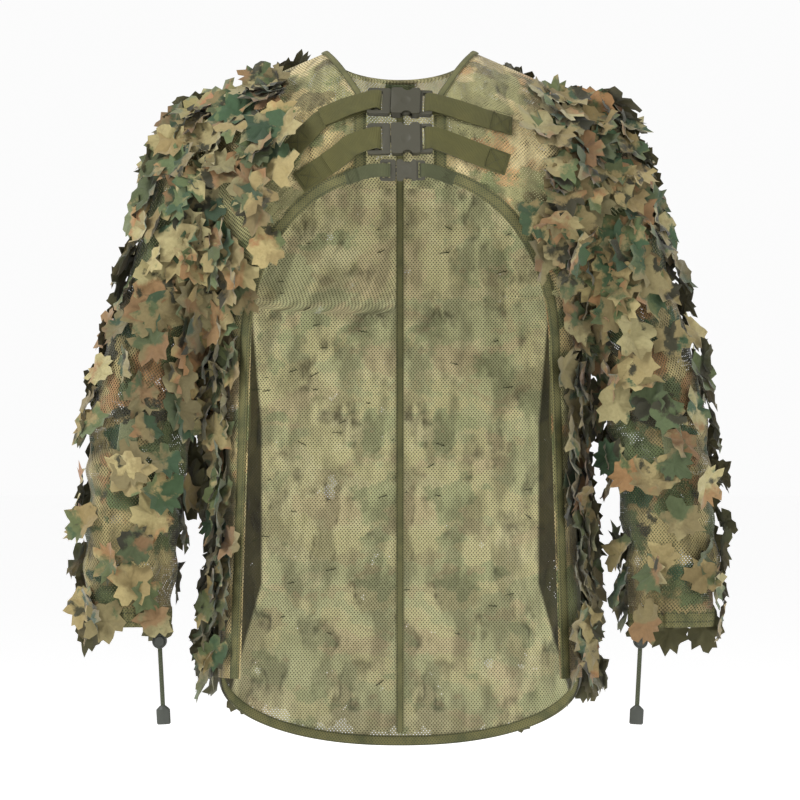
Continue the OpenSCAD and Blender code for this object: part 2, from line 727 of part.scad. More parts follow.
cord_end(-1);  // cord_end_right
cord_end(1);  // cord_end_left
upper_strap_right();
upper_strap_left();
middle_strap_right();
middle_strap_left();
lower_strap_right();
lower_strap_left();
at_buckle(0) socket(BIG);  // upper_socket
at_buckle(0) plug(BIG);  // upper_plug
at_buckle(0) prong(BIG, 1);  // upper_prong_top
at_buckle(0) prong(BIG, -1);  // upper_prong_bottom
at_buckle(1) socket(BIG);  // middle_socket
at_buckle(1) plug(BIG);  // middle_plug
at_buckle(1) prong(BIG, 1);  // middle_prong_top
at_buckle(1) prong(BIG, -1);  // middle_prong_bottom
at_buckle(2) socket(SMALL);  // lower_socket
at_buckle(2) plug(SMALL);  // lower_plug
at_buckle(2) prong(SMALL, 1);  // lower_prong_top
at_buckle(2) prong(SMALL, -1);  // lower_prong_bottom
sleeve_patch(-1);  // sleeve_patch_right
sleeve_patch(1);  // sleeve_patch_left
foliage_loops();
inner_tabs();
inner_snaps();
leaves_back();
leaves_yokes();
leaves_sides();
leaves_sleeve(-1);  // leaves_sleeve_right
leaves_sleeve(1);  // leaves_sleeve_left
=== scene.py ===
"""Mesh ghillie jacket: cloth, leaves, webbing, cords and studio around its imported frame."""
import logging
import math
import random
from dataclasses import dataclass, field
from enum import Enum
from typing import Callable, Iterable, Sequence

import bmesh
import bpy
from mathutils import Matrix, Vector, noise


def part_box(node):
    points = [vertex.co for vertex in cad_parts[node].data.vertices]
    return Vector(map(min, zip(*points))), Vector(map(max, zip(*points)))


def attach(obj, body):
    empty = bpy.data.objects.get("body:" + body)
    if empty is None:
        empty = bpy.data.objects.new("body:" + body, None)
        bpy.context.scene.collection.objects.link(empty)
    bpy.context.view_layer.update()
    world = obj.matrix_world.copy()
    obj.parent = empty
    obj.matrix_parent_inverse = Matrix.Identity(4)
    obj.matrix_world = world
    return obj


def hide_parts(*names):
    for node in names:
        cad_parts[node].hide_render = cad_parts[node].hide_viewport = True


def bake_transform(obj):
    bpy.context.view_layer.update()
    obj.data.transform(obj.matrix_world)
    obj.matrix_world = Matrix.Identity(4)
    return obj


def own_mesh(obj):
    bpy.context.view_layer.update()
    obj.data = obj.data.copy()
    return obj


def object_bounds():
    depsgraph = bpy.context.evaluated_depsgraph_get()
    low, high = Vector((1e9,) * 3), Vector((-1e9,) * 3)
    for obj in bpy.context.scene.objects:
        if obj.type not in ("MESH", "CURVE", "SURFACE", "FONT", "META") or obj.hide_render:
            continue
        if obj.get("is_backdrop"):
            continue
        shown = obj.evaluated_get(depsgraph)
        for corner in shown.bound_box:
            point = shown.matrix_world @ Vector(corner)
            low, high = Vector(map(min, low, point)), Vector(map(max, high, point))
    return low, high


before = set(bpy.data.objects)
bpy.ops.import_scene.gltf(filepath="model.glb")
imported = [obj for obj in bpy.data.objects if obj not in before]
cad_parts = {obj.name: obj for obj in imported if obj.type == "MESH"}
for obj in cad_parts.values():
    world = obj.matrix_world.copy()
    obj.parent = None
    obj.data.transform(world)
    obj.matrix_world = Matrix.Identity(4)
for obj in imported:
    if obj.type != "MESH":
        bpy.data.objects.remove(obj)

log = logging.getLogger("ghillie_jacket")

Colour = tuple[float, float, float, float]
Place = Callable[[float, float], Vector]
Spot = tuple["Face", float, float, float, float]
Way = tuple[tuple[float, float], ...]
Guide = list[tuple[Vector, Vector]]
Socket = bpy.types.NodeSocket
Node = bpy.types.Node
Tree = bpy.types.NodeTree
Piece = bpy.types.Object
Grid = dict[tuple[int, int], bmesh.types.BMVert]

TAU = 2.0 * math.pi
UV_NAME = "cloth"
TINT_NAME = "tint"


class Face(Enum):
    """Which side of the body a cloth panel is on, as the sign of Y."""

    FRONT = -1
    BACK = 1


class Side(Enum):
    """The wearer's side, as the sign of X."""

    RIGHT = -1
    LEFT = 1

    @property
    def word(self) -> str:
        """Return the side's name as node names spell it."""
        return self.name.lower()


# ---- Small helpers ----


def mix(a: float, b: float, t: float) -> float:
    """Return the value t of the way from a to b."""
    return a + (b - a) * t


def clamp(value: float) -> float:
    """Return value held between 0 and 1."""
    return max(0.0, min(1.0, value))


def smooth(low: float, high: float, value: float) -> float:
    """Return a smooth step from 0 at low to 1 at high."""
    t = clamp((value - low) / (high - low))
    return t * t * (3.0 - 2.0 * t)


def srgb(text: str) -> Colour:
    """Return an opaque linear colour from a hex code.

    Args:
        text: Six hex digits.

    Returns:
        Linear red, green and blue, and full alpha.
    """
    parts = [int(text[i:i + 2], 16) / 255.0 for i in (0, 2, 4)]
    linear = [c / 12.92 if c <= 0.04045 else ((c + 0.055) / 1.055) ** 2.4 for c in parts]
    return linear[0], linear[1], linear[2], 1.0


# ---- Shader groups ----


class Group:
    """A shader node group with named sockets, built once and placed in many materials."""

    def __init__(self, name: str, inputs: dict[str, object], outputs: dict[str, str]) -> None:
        """Create the group and its sockets.

        Args:
            name: The group's name.
            inputs: Socket name to default; a number, a colour of 4 or "vector".
            outputs: Socket name to "colour", "value" or "vector".
        """
        self.tree = bpy.data.node_groups.new(name, "ShaderNodeTree")
        kinds = {"colour": "NodeSocketColor", "value": "NodeSocketFloat", "vector": "NodeSocketVector"}
        for label, default in inputs.items():
            kind = "vector" if default == "vector" else "colour" if isinstance(default, tuple) else "value"
            socket = self.tree.interface.new_socket(label, in_out="INPUT", socket_type=kinds[kind])
            if kind != "vector":
                socket.default_value = default
        for label, kind in outputs.items():
            self.tree.interface.new_socket(label, in_out="OUTPUT", socket_type=kinds[kind])
        self.entry = self.tree.nodes.new("NodeGroupInput")
        self.exit = self.tree.nodes.new("NodeGroupOutput")

    def output(self, label: str, source: Socket) -> None:
        """Join a socket inside the group to one of its outputs."""
        self.tree.links.new(source, self.exit.inputs[label])


@dataclass
class Wiring:
    """Short calls that add nodes to one tree and join them."""

    tree: Tree

    def join(self, source: Socket, node: Node, label: str | int) -> None:
        """Join a socket to one of a node's inputs."""
        self.tree.links.new(source, node.inputs[label])

    def fill(self, node: Node, inputs: dict[str | int, object]) -> Node:
        """Set a node's inputs to values, or join sockets to them, and return the node."""
        for label, value in inputs.items():
            if isinstance(value, Socket):
                self.join(value, node, label)
            else:
                node.inputs[label].default_value = value
        return node

    def node(self, kind: str, settings: dict[str, object] | None = None,
             inputs: dict[str | int, object] | None = None) -> Node:
        """Add a node.

        Args:
            kind: The node's type name, without "ShaderNode".
            settings: Attribute values.
            inputs: Socket values, or sockets to join to.

        Returns:
            The new node.
        """
        made = self.tree.nodes.new("ShaderNode" + kind)
        for label, value in (settings or {}).items():
            setattr(made, label, value)
        return self.fill(made, inputs or {})

    def group(self, tree: Tree, inputs: dict[str, object]) -> Node:
        """Place a shared group and return its node."""
        return self.fill(self.node("Group", {"node_tree": tree}), inputs)

    def math(self, operation: str, *values: object) -> Socket:
        """Return the result of a math node on values or sockets."""
        return self.node("Math", {"operation": operation}, dict(enumerate(values))).outputs[0]

    def times(self, a: object, b: object) -> Socket:
        """Return a product."""
        return self.math("MULTIPLY", a, b)

    def blend(self, share: object, a: object, b: object, mode: str = "MIX") -> Socket:
        """Return colour a turned into colour b by share."""
        settings = {"data_type": "RGBA", "blend_type": mode}
        return self.node("Mix", settings, {0: share, 6: a, 7: b}).outputs[2]

    def darken(self, share: object, colour: object, shade: object) -> Socket:
        """Return a colour multiplied by a shade, by share."""
        return self.blend(share, colour, shade, "MULTIPLY")

    def noise(self, vector: Socket, scale: float, detail: float = 2.0, roughness: float = 0.5) -> Socket:
        """Return the value of a noise texture."""
        values = {"Vector": vector, "Scale": scale, "Detail": detail, "Roughness": roughness}
        return self.node("TexNoise", None, values).outputs[0]

    def step(self, value: Socket, low: float, high: float) -> Socket:
        """Return 0 to 1 as value goes from low to high, held at both ends."""
        values = {0: value, 1: low, 2: high, 3: 0.0, 4: 1.0}
        return self.node("MapRange", {"clamp": True}, values).outputs[0]

    def shifted(self, vector: Socket, offset: Sequence[float], scale: Sequence[float] = (1, 1, 1),
                turn: float = 0.0) -> Socket:
        """Return a vector moved, scaled and turned about Z."""
        values = {"Vector": vector, "Location": offset, "Scale": scale, "Rotation": (0.0, 0.0, turn)}
        return self.node("Mapping", None, values).outputs[0]

    def split(self, vector: Socket) -> bpy.types.bpy_prop_collection:
        """Return a vector's X, Y and Z."""
        return self.node("SeparateXYZ", None, {0: vector}).outputs

    def bump(self, shader: Node, height: Socket, strength: float, depth: float) -> None:
        """Feed a height to the shader's normal through a Bump node."""
        made = self.node("Bump", None, {"Height": height, "Strength": strength, "Distance": depth})
        self.join(made.outputs[0], shader, "Normal")


@dataclass(frozen=True)
class CamoPrint:
    """Colours of one printed camouflage."""

    ground: Colour
    light: Colour
    warm: Colour
    green: Colour
    deep: Colour
    dark: Colour


# Painted shade for the lining in the flanks, where the back turns forwards away from the lamps.
FLANK_SHADE = srgb("5c5946")
# Painted shade colour: the knit's hole rims, the creases and fold hollows of the mesh, and the lining towards
# the tail.
HOLE_SHADE = srgb("4d4a36")
FRONT_PRINT = CamoPrint(ground=srgb("918256"), light=srgb("ab9d6c"), warm=srgb("9b784e"),
                        green=srgb("5d6940"), deep=srgb("3d5535"), dark=srgb("3a3820"))
FRONT_MESH_PRINT = CamoPrint(ground=srgb("d2bd86"), light=srgb("e0cd9a"), warm=srgb("cda673"),
                             green=srgb("a8a472"), deep=srgb("858c5c"), dark=srgb("867b52"))
BACK_PRINT = CamoPrint(ground=srgb("8f8654"), light=srgb("aba372"), warm=srgb("a0754f"),
                       green=srgb("767b58"), deep=srgb("63613a"), dark=srgb("483d26"))
LINING_PRINT = CamoPrint(ground=srgb("e6deab"), light=srgb("ebe3b3"), warm=srgb("e3d5a8"),
                         green=srgb("d7d6a6"), deep=srgb("c8ca9a"), dark=srgb("d5cb9e"))


class Effects:
    """The shader groups that several materials share."""

    def __init__(self) -> None:
        """Build every group."""
        self.camo = self._camo()
        self.holes = self._holes()
        self.weave = self._weave()
        self.ribs = self._ribs()
        self.moulding = self._moulding()

    def _camo(self) -> Tree:
        """Build the printed camouflage: soft ragged blots of six colours, with a fine speckle."""
        white = (1.0, 1.0, 1.0, 1.0)
        inks = dict.fromkeys(("Ground", "Light", "Warm", "Green", "Deep", "Dark"), white)
        group = Group("Camouflage print", {"Vector": "vector", **inks, "Blot size": 1.0}, {"Color": "colour"})
        w = Wiring(group.tree)
        inp = group.entry.outputs
        size = w.node("CombineXYZ", None, {axis: inp["Blot size"] for axis in range(3)}).outputs[0]
        base = w.node("VectorMath", {"operation": "DIVIDE"}, {0: inp["Vector"], 1: size}).outputs[0]
        ragged = w.noise(base, 95.0, 3.0, 0.7)

        blots = (("Light", (3.1, 0.2, 5.0), 9.0, 0.50, 0.16), ("Warm", (7.7, 4.2, 1.0), 11.0, 0.55, 0.16),
                 ("Green", (1.3, 9.1, 3.3), 12.0, 0.535, 0.22), ("Deep", (5.5, 2.6, 8.0), 13.0, 0.575, 0.22),
                 ("Dark", (9.9, 6.4, 2.0), 19.0, 0.60, 0.26))
        colour = inp["Ground"]
        for label, offset, scale, low, ragging in blots:
            wide = w.noise(w.shifted(base, offset, (1.0, 1.45, 1.0)), scale, 2.5, 0.55)
            rough = w.math("MULTIPLY_ADD", ragged, ragging, wide)
            edge = low + ragging * 0.5
            colour = w.blend(w.step(rough, edge, edge + 0.035), colour, inp[label])
        speck = w.step(w.noise(base, 330.0, 2.0, 0.6), 0.35, 0.68)
        group.output("Color", w.darken(w.times(speck, 0.26), colour, (0.42, 0.4, 0.3, 1.0)))
        return group.tree

    def _holes(self) -> Tree:
        """Build the open knit: staggered round holes, with the bars between them raised."""
        group = Group("Open knit", {"Vector": "vector", "Pitch": 0.0036, "Hole": 0.27},
                      {"Alpha": "value", "Height": "value"})
        w = Wiring(group.tree)
        inp = group.entry.outputs
        per_metre = w.math("DIVIDE", 1.4142, inp["Pitch"])
        scale = w.node("CombineXYZ", None, {0: per_metre, 1: w.times(per_metre, 0.86), 2: 1.0})
        unit = w.node("VectorMath", {"operation": "MULTIPLY"}, {0: inp["Vector"], 1: scale.outputs[0]})
        turned = w.shifted(unit.outputs[0], (0, 0, 0), (1, 1, 1), math.pi / 4)
        cells = w.node("TexVoronoi", {"voronoi_dimensions": "2D", "feature": "F1"},
                       {"Vector": turned, "Scale": 1.0, "Randomness": 0.0})
        over = w.math("SUBTRACT", cells.outputs["Distance"], inp["Hole"])
        group.output("Alpha", w.step(over, -0.03, 0.03))
        group.output("Height", w.step(over, 0.0, 0.28))
        return group.tree

    def _weave(self) -> Tree:
        """Build a plain fine weave."""
        group = Group("Fine weave", {"Vector": "vector", "Threads": 900.0}, {"Height": "value"})
        w = Wiring(group.tree)
        inp = group.entry.outputs
        parts = w.split(inp["Vector"])
        across, along = (w.math("SINE", w.times(w.times(parts[i], inp["Threads"]), TAU)) for i in (0, 1))
        group.output("Height", w.math("MULTIPLY_ADD", w.times(across, along), 0.5, 0.5))
        return group.tree

    def _ribs(self) -> Tree:
        """Build ribbed webbing: ribs across, with worn pale crowns."""
        group = Group("Webbing ribs", {"Vector": "vector", "Rib": 0.0012},
                      {"Height": "value", "Wear": "value"})
        w = Wiring(group.tree)
        inp = group.entry.outputs
        parts = w.split(inp["Vector"])
        turns = w.math("DIVIDE", w.times(parts[0], TAU), inp["Rib"])
        rib = w.math("MULTIPLY_ADD", w.math("SINE", turns), 0.5, 0.5)
        worn = w.noise(inp["Vector"], 70.0, 4.0, 0.6)
        group.output("Height", rib)
        group.output("Wear", w.times(rib, w.step(worn, 0.45, 0.75)))
        return group.tree

    def _moulding(self) -> Tree:
        """Build moulded plastic: a fine spark-eroded grain and scuffs."""
        group = Group("Moulded grain", {"Vector": "vector", "Grain": 2600.0},
                      {"Height": "value", "Scuff": "value"})
        w = Wiring(group.tree)
        inp = group.entry.outputs
        grain = w.node("TexNoise", None, {"Vector": inp["Vector"], "Scale": inp["Grain"], "Detail": 2.0})
        scratches = w.noise(w.shifted(inp["Vector"], (0, 0, 0), (1.0, 6.0, 1.0), 0.6), 240.0, 5.0, 0.7)
        group.output("Height", grain.outputs[0])
        group.output("Scuff", w.step(scratches, 0.56, 0.8))
        return group.tree


# ---- Finishes ----


@dataclass(frozen=True)
class Finish:
    """What every finish has: a name, a record slot and a roughness."""

    name: str
    slot: str
    roughness: float = 0.85

    def build(self, effects: Effects) -> bpy.types.Material:
        """Return the finish's material."""
        material = bpy.data.materials.new(self.name)
        material.use_nodes = True
        w = Wiring(material.node_tree)
        w.tree.nodes.clear()
        shader = w.node("BsdfPrincipled", None, {"Roughness": self.roughness})
        w.join(shader.outputs[0], w.node("OutputMaterial"), 0)
        self.paint(w, shader, effects)
        return material

    def paint(self, w: Wiring, shader: Node, effects: Effects) -> None:
        """Wire the finish's colour and relief, as each kind does in its own way."""
        raise NotImplementedError

    def uv(self, w: Wiring) -> Socket:
        """Return the piece's own cloth coordinates, in metres."""
        return w.node("UVMap", {"uv_map": UV_NAME}).outputs[0]

    def object_place(self, w: Wiring) -> Socket:
        """Return the place in the piece's own frame."""
        return w.node("TexCoord").outputs["Object"]


def camo_inputs(colours: CamoPrint, vector: Socket, blot: float) -> dict[str, object]:
    """Return the camouflage group's inputs for one print."""
    return {"Vector": vector, "Ground": colours.ground, "Light": colours.light, "Warm": colours.warm,
            "Green": colours.green, "Deep": colours.deep, "Dark": colours.dark, "Blot size": blot}


@dataclass(frozen=True)
class MeshCloth(Finish):
    """Open knitted mesh, printed on its outer face and paler inside."""

    outside: CamoPrint = FRONT_MESH_PRINT
    inside: CamoPrint = LINING_PRINT
    blot: float = 1.5
    pitch: float = 0.0038
    hole: float = 0.22
    # Strength of the painted shade round each hole's rim.
    rim: float = 0.95
    # Half width of the centre panel beyond which the lining gets painted flank shade; 0 for none.
    flank: float = 0.0
    # Strength of the painted shade in the hollows between the wrinkles.
    hollow_shade: float = 0.42

    def paint(self, w: Wiring, shader: Node, effects: Effects) -> None:
        """Wire the colour and the relief."""
        uv = self.uv(w)
        outer = w.group(effects.camo, camo_inputs(self.outside, uv, self.blot))
        inner = w.group(effects.camo, camo_inputs(self.inside, w.shifted(uv, (0.7, 0.3, 0)), self.blot))
        lining = inner.outputs["Color"]
        # Painted shade on the lining: darker towards the tail and in the flanks beyond the centre panel's
        # edge.
        if self.flank:
            lining = w.darken(self._toward_hem(w), lining, HOLE_SHADE)
            lining = w.darken(self._flank_shade_share(w), lining, FLANK_SHADE)
        back = w.node("NewGeometry").outputs["Backfacing"]
        colour = w.blend(back, outer.outputs["Color"], lining)
        grime = w.step(w.noise(uv, 14.0, 4.0, 0.6), 0.35, 0.75)
        colour = w.darken(w.times(grime, 0.3), colour, (0.55, 0.55, 0.42, 1.0))
        knit = w.group(effects.holes, {"Vector": uv, "Pitch": self.pitch, "Hole": self.hole})
        # Painted shade: the bars of the knit darken towards each hole, where the threads fall away into
        # shadow.
        rim = w.step(knit.outputs["Height"], 0.6, 0.1)
        colour = w.darken(w.times(rim, self.rim), colour, HOLE_SHADE)
        # Painted shade in the folds: thin crease lines and the hollows between wrinkles are darkened; the same
        # creases also feed the bump.
        pulled = w.noise(w.shifted(uv, (0.0, 0.0, 0.0), (1.0, 0.40, 1.0), 0.85), 38.0, 2.0, 0.5)
        crease = w.step(w.math("ABSOLUTE", w.math("SUBTRACT", pulled, 0.5)), 0.10, 0.0)
        valley = w.times(crease, w.step(w.noise(uv, 19.0, 3.0, 0.6), 0.50, 0.66))
        colour = w.darken(w.times(valley, 0.75), colour, HOLE_SHADE)
        hollow_shade_share = w.times(w.step(pulled, 0.55, 0.38), self.hollow_shade)
        colour = w.darken(hollow_shade_share, colour, HOLE_SHADE)
        w.join(colour, shader, "Base Color")
        w.join(knit.outputs["Alpha"], shader, "Alpha")
        wrinkles = w.math("SUBTRACT", w.times(pulled, 3.2), valley)
        relief = w.math("MULTIPLY_ADD", knit.outputs["Height"], 0.09, wrinkles)
        w.bump(shader, relief, 0.6, 0.004)
        shader.inputs["Sheen Weight"].default_value = 0.15

    def _toward_hem(self, w: Wiring) -> Socket:
        """Return how much darker the lining is towards the tail, where little light reaches it."""
        parts = w.split(self.object_place(w))
        return w.times(w.step(parts[2], -0.42, -0.78), 0.42)

    def _flank_shade_share(self, w: Wiring) -> Socket:
        """Return the painted shade of the flanks: 1 beyond the centre panel's edge, where the back turns
        forwards into shadow, and 0 inside it.
        """
        parts = w.split(self.object_place(w))
        drop = w.times(parts[2], -1.0)
        flare = w.times(w.step(drop, 0.60, 0.72), 0.034)
        top = w.times(w.step(drop, 0.42, 0.28), 0.012)
        edge = w.math("ADD", w.math("ADD", flare, top), self.flank)
        beyond = w.math("SUBTRACT", w.math("ABSOLUTE", parts[0]), edge)
        return w.step(beyond, 0.0, 0.003)


@dataclass(frozen=True)
class LeafCloth(Finish):
    """Cut woven leaves: each has its own piece of the print and its own tint."""

    colours: CamoPrint = FRONT_PRINT
    blot: float = 1.4
    # Plain colour of the leaves' reverse faces, made dark as painted shade, and how much of it they take.
    reverse: Colour = srgb("5f5b3a")
    reverse_share: float = 0.6

    def paint(self, w: Wiring, shader: Node, effects: Effects) -> None:
        """Wire the colour and the relief."""
        uv = self.uv(w)
        camo = w.group(effects.camo, camo_inputs(self.colours, uv, self.blot))
        tint = w.node("Attribute", {"attribute_name": TINT_NAME}).outputs["Color"]
        colour = w.darken(1.0, camo.outputs["Color"], tint)
        # The reverse faces take the plain unprinted colour, made dark as painted shade, since they turn away
        # from the lamps into the jacket.
        back = w.node("NewGeometry").outputs["Backfacing"]
        colour = w.blend(w.times(back, self.reverse_share), colour, self.reverse)
        w.join(colour, shader, "Base Color")
        weave = w.group(effects.weave, {"Vector": uv, "Threads": 900.0})
        crease = w.noise(uv, 60.0, 3.0, 0.5)
        height = w.math("MULTIPLY_ADD", weave.outputs["Height"], 0.12, crease)
        w.bump(shader, height, 0.5, 0.002)
        shader.inputs["Sheen Weight"].default_value = 0.2


@dataclass(frozen=True)
class Tape(Finish):
    """Folded woven tape with two lines of stitching."""

    colour: Colour = srgb("4c5633")
    second: Colour = srgb("6a6b42")
    width: float = 0.014
    stitch: Colour = srgb("2f3320")
    printed: float = 0.5
    # Share of painted shade in the tape's knit holes, which are not cut.
    pore_shade: float = 0.0

    def paint(self, w: Wiring, shader: Node, effects: Effects) -> None:
        """Wire the colour and the relief."""
        uv = self.uv(w)
        patch = w.step(w.noise(uv, 26.0, 4.0, 0.65), 0.45, 0.62)
        colour = w.blend(w.times(patch, self.printed), self.colour, self.second)
        # Painted shade: the open share of the knit takes the dark stitch colour, standing in for the shadow
        # seen through the holes of the mesh tape.
        if self.pore_shade:
            knit = w.group(effects.holes, {"Vector": uv, "Pitch": 0.0034, "Hole": 0.30})
            open_share = w.math("SUBTRACT", 1.0, knit.outputs["Alpha"])
            colour = w.blend(w.times(open_share, self.pore_shade), colour, self.stitch)
        parts = w.split(uv)
        across = w.math("ABSOLUTE", w.math("SUBTRACT", w.math("ABSOLUTE", parts[1]), self.width * 0.34))
        line = w.step(across, self.width * 0.07, self.width * 0.03)
        dash = w.step(w.math("SINE", w.times(parts[0], TAU / 0.003)), -0.5, -0.1)
        thread = w.times(line, dash)
        colour = w.blend(w.times(thread, 0.8), colour, self.stitch)
        w.join(colour, shader, "Base Color")
        weave = w.group(effects.weave, {"Vector": uv, "Threads": 700.0})
        height = w.math("SUBTRACT", w.times(weave.outputs["Height"], 0.4), thread)
        w.bump(shader, height, 0.6, 0.0006)


@dataclass(frozen=True)
class Webbing(Finish):
    """Ribbed olive webbing, paler where it is worn."""

    colour: Colour = srgb("4f4c21")
    worn: Colour = srgb("64612f")

    def paint(self, w: Wiring, shader: Node, effects: Effects) -> None:
        """Wire the colour and the relief."""
        uv = self.uv(w)
        ribs = w.group(effects.ribs, {"Vector": uv, "Rib": 0.0016})
        shade = w.step(w.noise(uv, 30.0, 4.0, 0.6), 0.3, 0.75)
        colour = w.blend(w.times(shade, 0.3), self.colour, (0.05, 0.055, 0.02, 1.0))
        colour = w.blend(w.times(ribs.outputs["Wear"], 0.55), colour, self.worn)
        w.join(colour, shader, "Base Color")
        w.bump(shader, ribs.outputs["Height"], 0.7, 0.0005)
        shader.inputs["Sheen Weight"].default_value = 0.12


@dataclass(frozen=True)
class Moulded(Finish):
    """Moulded plastic with a fine grain and scuffed faces."""

    colour: Colour = srgb("55554a")
    scuffed: Colour = srgb("77776a")
    roughness: float = 0.48

    def paint(self, w: Wiring, shader: Node, effects: Effects) -> None:
        """Wire the colour and the relief."""
        vector = self.object_place(w)
        grain = w.group(effects.moulding, {"Vector": vector, "Grain": 2600.0})
        colour = w.blend(w.times(grain.outputs["Scuff"], 0.4), self.colour, self.scuffed)
        w.join(colour, shader, "Base Color")
        w.join(w.math("MULTIPLY_ADD", grain.outputs["Scuff"], 0.2, self.roughness), shader, "Roughness")
        w.bump(shader, grain.outputs["Height"], 0.25, 0.0002)


@dataclass(frozen=True)
class Metal(Finish):
    """Bare or coated metal with fine marks."""

    colour: Colour = srgb("8a8a80")
    metallic: float = 1.0
    roughness: float = 0.4

    def paint(self, w: Wiring, shader: Node, effects: Effects) -> None:
        """Wire the colour and the relief."""
        vector = self.object_place(w)
        grain = w.group(effects.moulding, {"Vector": vector, "Grain": 1400.0})
        colour = w.blend(w.times(grain.outputs["Scuff"], 0.5), self.colour, (0.3, 0.3, 0.27, 1.0))
        w.join(colour, shader, "Base Color")
        shader.inputs["Metallic"].default_value = self.metallic
        w.bump(shader, grain.outputs["Height"], 0.2, 0.0002)


@dataclass(frozen=True)
class Braid(Finish):
    """Braided elastic cord: two sets of strands that cross."""

    colour: Colour = srgb("3c4130")
    flecks: Colour = srgb("5c6046")

    def paint(self, w: Wiring, shader: Node, effects: Effects) -> None:
        """Wire the colour and the relief."""
        parts = w.split(self.uv(w))
        along = w.times(parts[1], TAU / 0.0032)
        around = w.times(parts[0], TAU * 3.0)
        left = w.math("SINE", w.math("ADD", along, around))
        right = w.math("SINE", w.math("SUBTRACT", along, around))
        strands = w.math("MAXIMUM", left, right)
        share = w.step(strands, 0.2, 1.0)
        colour = w.blend(w.times(share, 0.5), self.colour, self.flecks)
        w.join(colour, shader, "Base Color")
        w.bump(shader, share, 0.7, 0.0004)


@dataclass(frozen=True)
class LoopPile(Finish):
    """Brushed loop pile of a hook-and-loop patch."""

    colour: Colour = srgb("4a4f31")
    tips: Colour = srgb("6b6f4c")

    def paint(self, w: Wiring, shader: Node, effects: Effects) -> None:
        """Wire the colour and the relief."""
        vector = self.object_place(w)
        cells = w.node("TexVoronoi", None, {"Vector": vector, "Scale": 900.0}).outputs["Distance"]
        fuzz = w.math("ADD", cells, w.noise(vector, 300.0, 4.0, 0.7))
        share = w.step(fuzz, 0.4, 1.2)
        colour = w.blend(share, self.colour, self.tips)
        w.join(colour, shader, "Base Color")
        w.bump(shader, share, 0.8, 0.0008)
        shader.inputs["Sheen Weight"].default_value = 0.3


class Finishes:
    """Every finish of the jacket as a built material, by slot."""

    def __init__(self) -> None:
        """Build the groups and then the materials."""
        effects = Effects()
        kinds: dict[str, Finish] = {
            "front_mesh": MeshCloth("Front mesh", "mesh_cloth"),
            "sleeve_mesh": MeshCloth("Sleeve mesh", "mesh_cloth", outside=FRONT_PRINT, blot=1.2),
            # The back mesh's lining gets painted shade towards the tail and beyond a half width of 0.156 m.
            "back_mesh": MeshCloth("Back mesh", "mesh_cloth", outside=BACK_PRINT, blot=0.9, hole=0.165,
                                   flank=0.156),
            "front_leaf": LeafCloth("Front leaf cloth", "leaf_cloth"),
            "back_leaf": LeafCloth("Back leaf cloth", "leaf_cloth", colours=BACK_PRINT, blot=0.7,
                                   reverse=srgb("4e4b2d"), reverse_share=0.95),
            "tape": Tape("Binding tape", "binding_tape", colour=srgb("4d5137"), second=srgb("62613f")),
            "hem": Tape("Hem tape", "binding_tape", colour=srgb("6f6b42"), second=srgb("4a4e2e"),
                        printed=0.8,
                        pore_shade=0.75),
            "neck_mesh": Tape("Neck tape", "binding_tape", colour=srgb("566042"),
                              second=srgb("6d6f4b"), width=0.033,
                              pore_shade=0.9),
            "seam": Tape("Seam tape", "binding_tape", colour=srgb("6a6843"), second=srgb("474a2e"),
                         width=0.008),
            "webbing": Webbing("Olive webbing", "webbing"),
            "green_webbing": Webbing("Green webbing", "webbing", colour=srgb("45492c"),
                                     worn=srgb("5a5d3e")),
            "loop": Webbing("Loop webbing", "webbing", colour=srgb("66643f"), worn=srgb("7b7850")),
            "buckle": Moulded("Buckle plastic", "buckle_plastic", colour=srgb("413f32"),
                              scuffed=srgb("575544")),
            "toggle": Moulded("Toggle plastic", "toggle_plastic", colour=srgb("3d4039"),
                              scuffed=srgb("54574e")),
            "spring": Metal("Spring wire", "spring_steel"),
            "eyelet": Metal("Dark eyelet", "eyelet_metal", colour=srgb("4b4d45"), roughness=0.45),
            "snap": Metal("Enamelled snap", "snap_metal", colour=srgb("6b6c58"), metallic=0.3,
                          roughness=0.5),
            "cord": Braid("Elastic braid", "elastic_cord"),
            "pile": LoopPile("Loop pile", "loop_pile"),
            "thread": Tape("Tacking thread", "leaf_cloth", colour=srgb("33361f"), second=srgb("45482c")),
            "strap_thread": Tape("Strap thread", "webbing", colour=srgb("43432a"), second=srgb("4a4a2e")),
        }
        self.slots = {key: kind.slot for key, kind in kinds.items()}
        self.materials = {key: kind.build(effects) for key, kind in kinds.items()}

    def dress(self, piece: Piece, key: str) -> None:
        """Give a new piece a finish."""
        piece.data.materials.clear()
        piece.data.materials.append(self.materials[key])

    def redress(self, node: str, key: str) -> None:
        """Give a CAD node a finish in its own material slots."""
        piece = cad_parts[node]
        for slot in piece.material_slots:
            slot.material = self.materials[key]


# ---- The jacket's surfaces ----


@dataclass(frozen=True)
class Cut:
    """Sizes of the cut in metres; d is always the drop below the neck points."""

    neck_half: float = 0.082
    shoulder_half: float = 0.212
    shoulder_drop: float = 0.056
    armpit_drop: float = 0.274
    chest_half: float = 0.203
    front_depth: float = 0.128
    back_depth: float = 0.118
    side_hem_drop: float = 0.702
    tail_fall: float = 0.083
    gap_half: float = 0.038
    arch_drop: float = 0.148
    arch_foot_drop: float = 0.340
    arch_half: float = 0.166
    vee_drop: float = 0.058
    back_neck_drop: float = 0.028
    yoke_drop: float = 0.150
    ridge_y: float = 0.005
    armhole_half: float = 0.067
    front_power: float = 2.3
    back_power: float = 3.6
    front_roll: float = 0.120
    back_roll: float = 0.095


CUT = Cut()


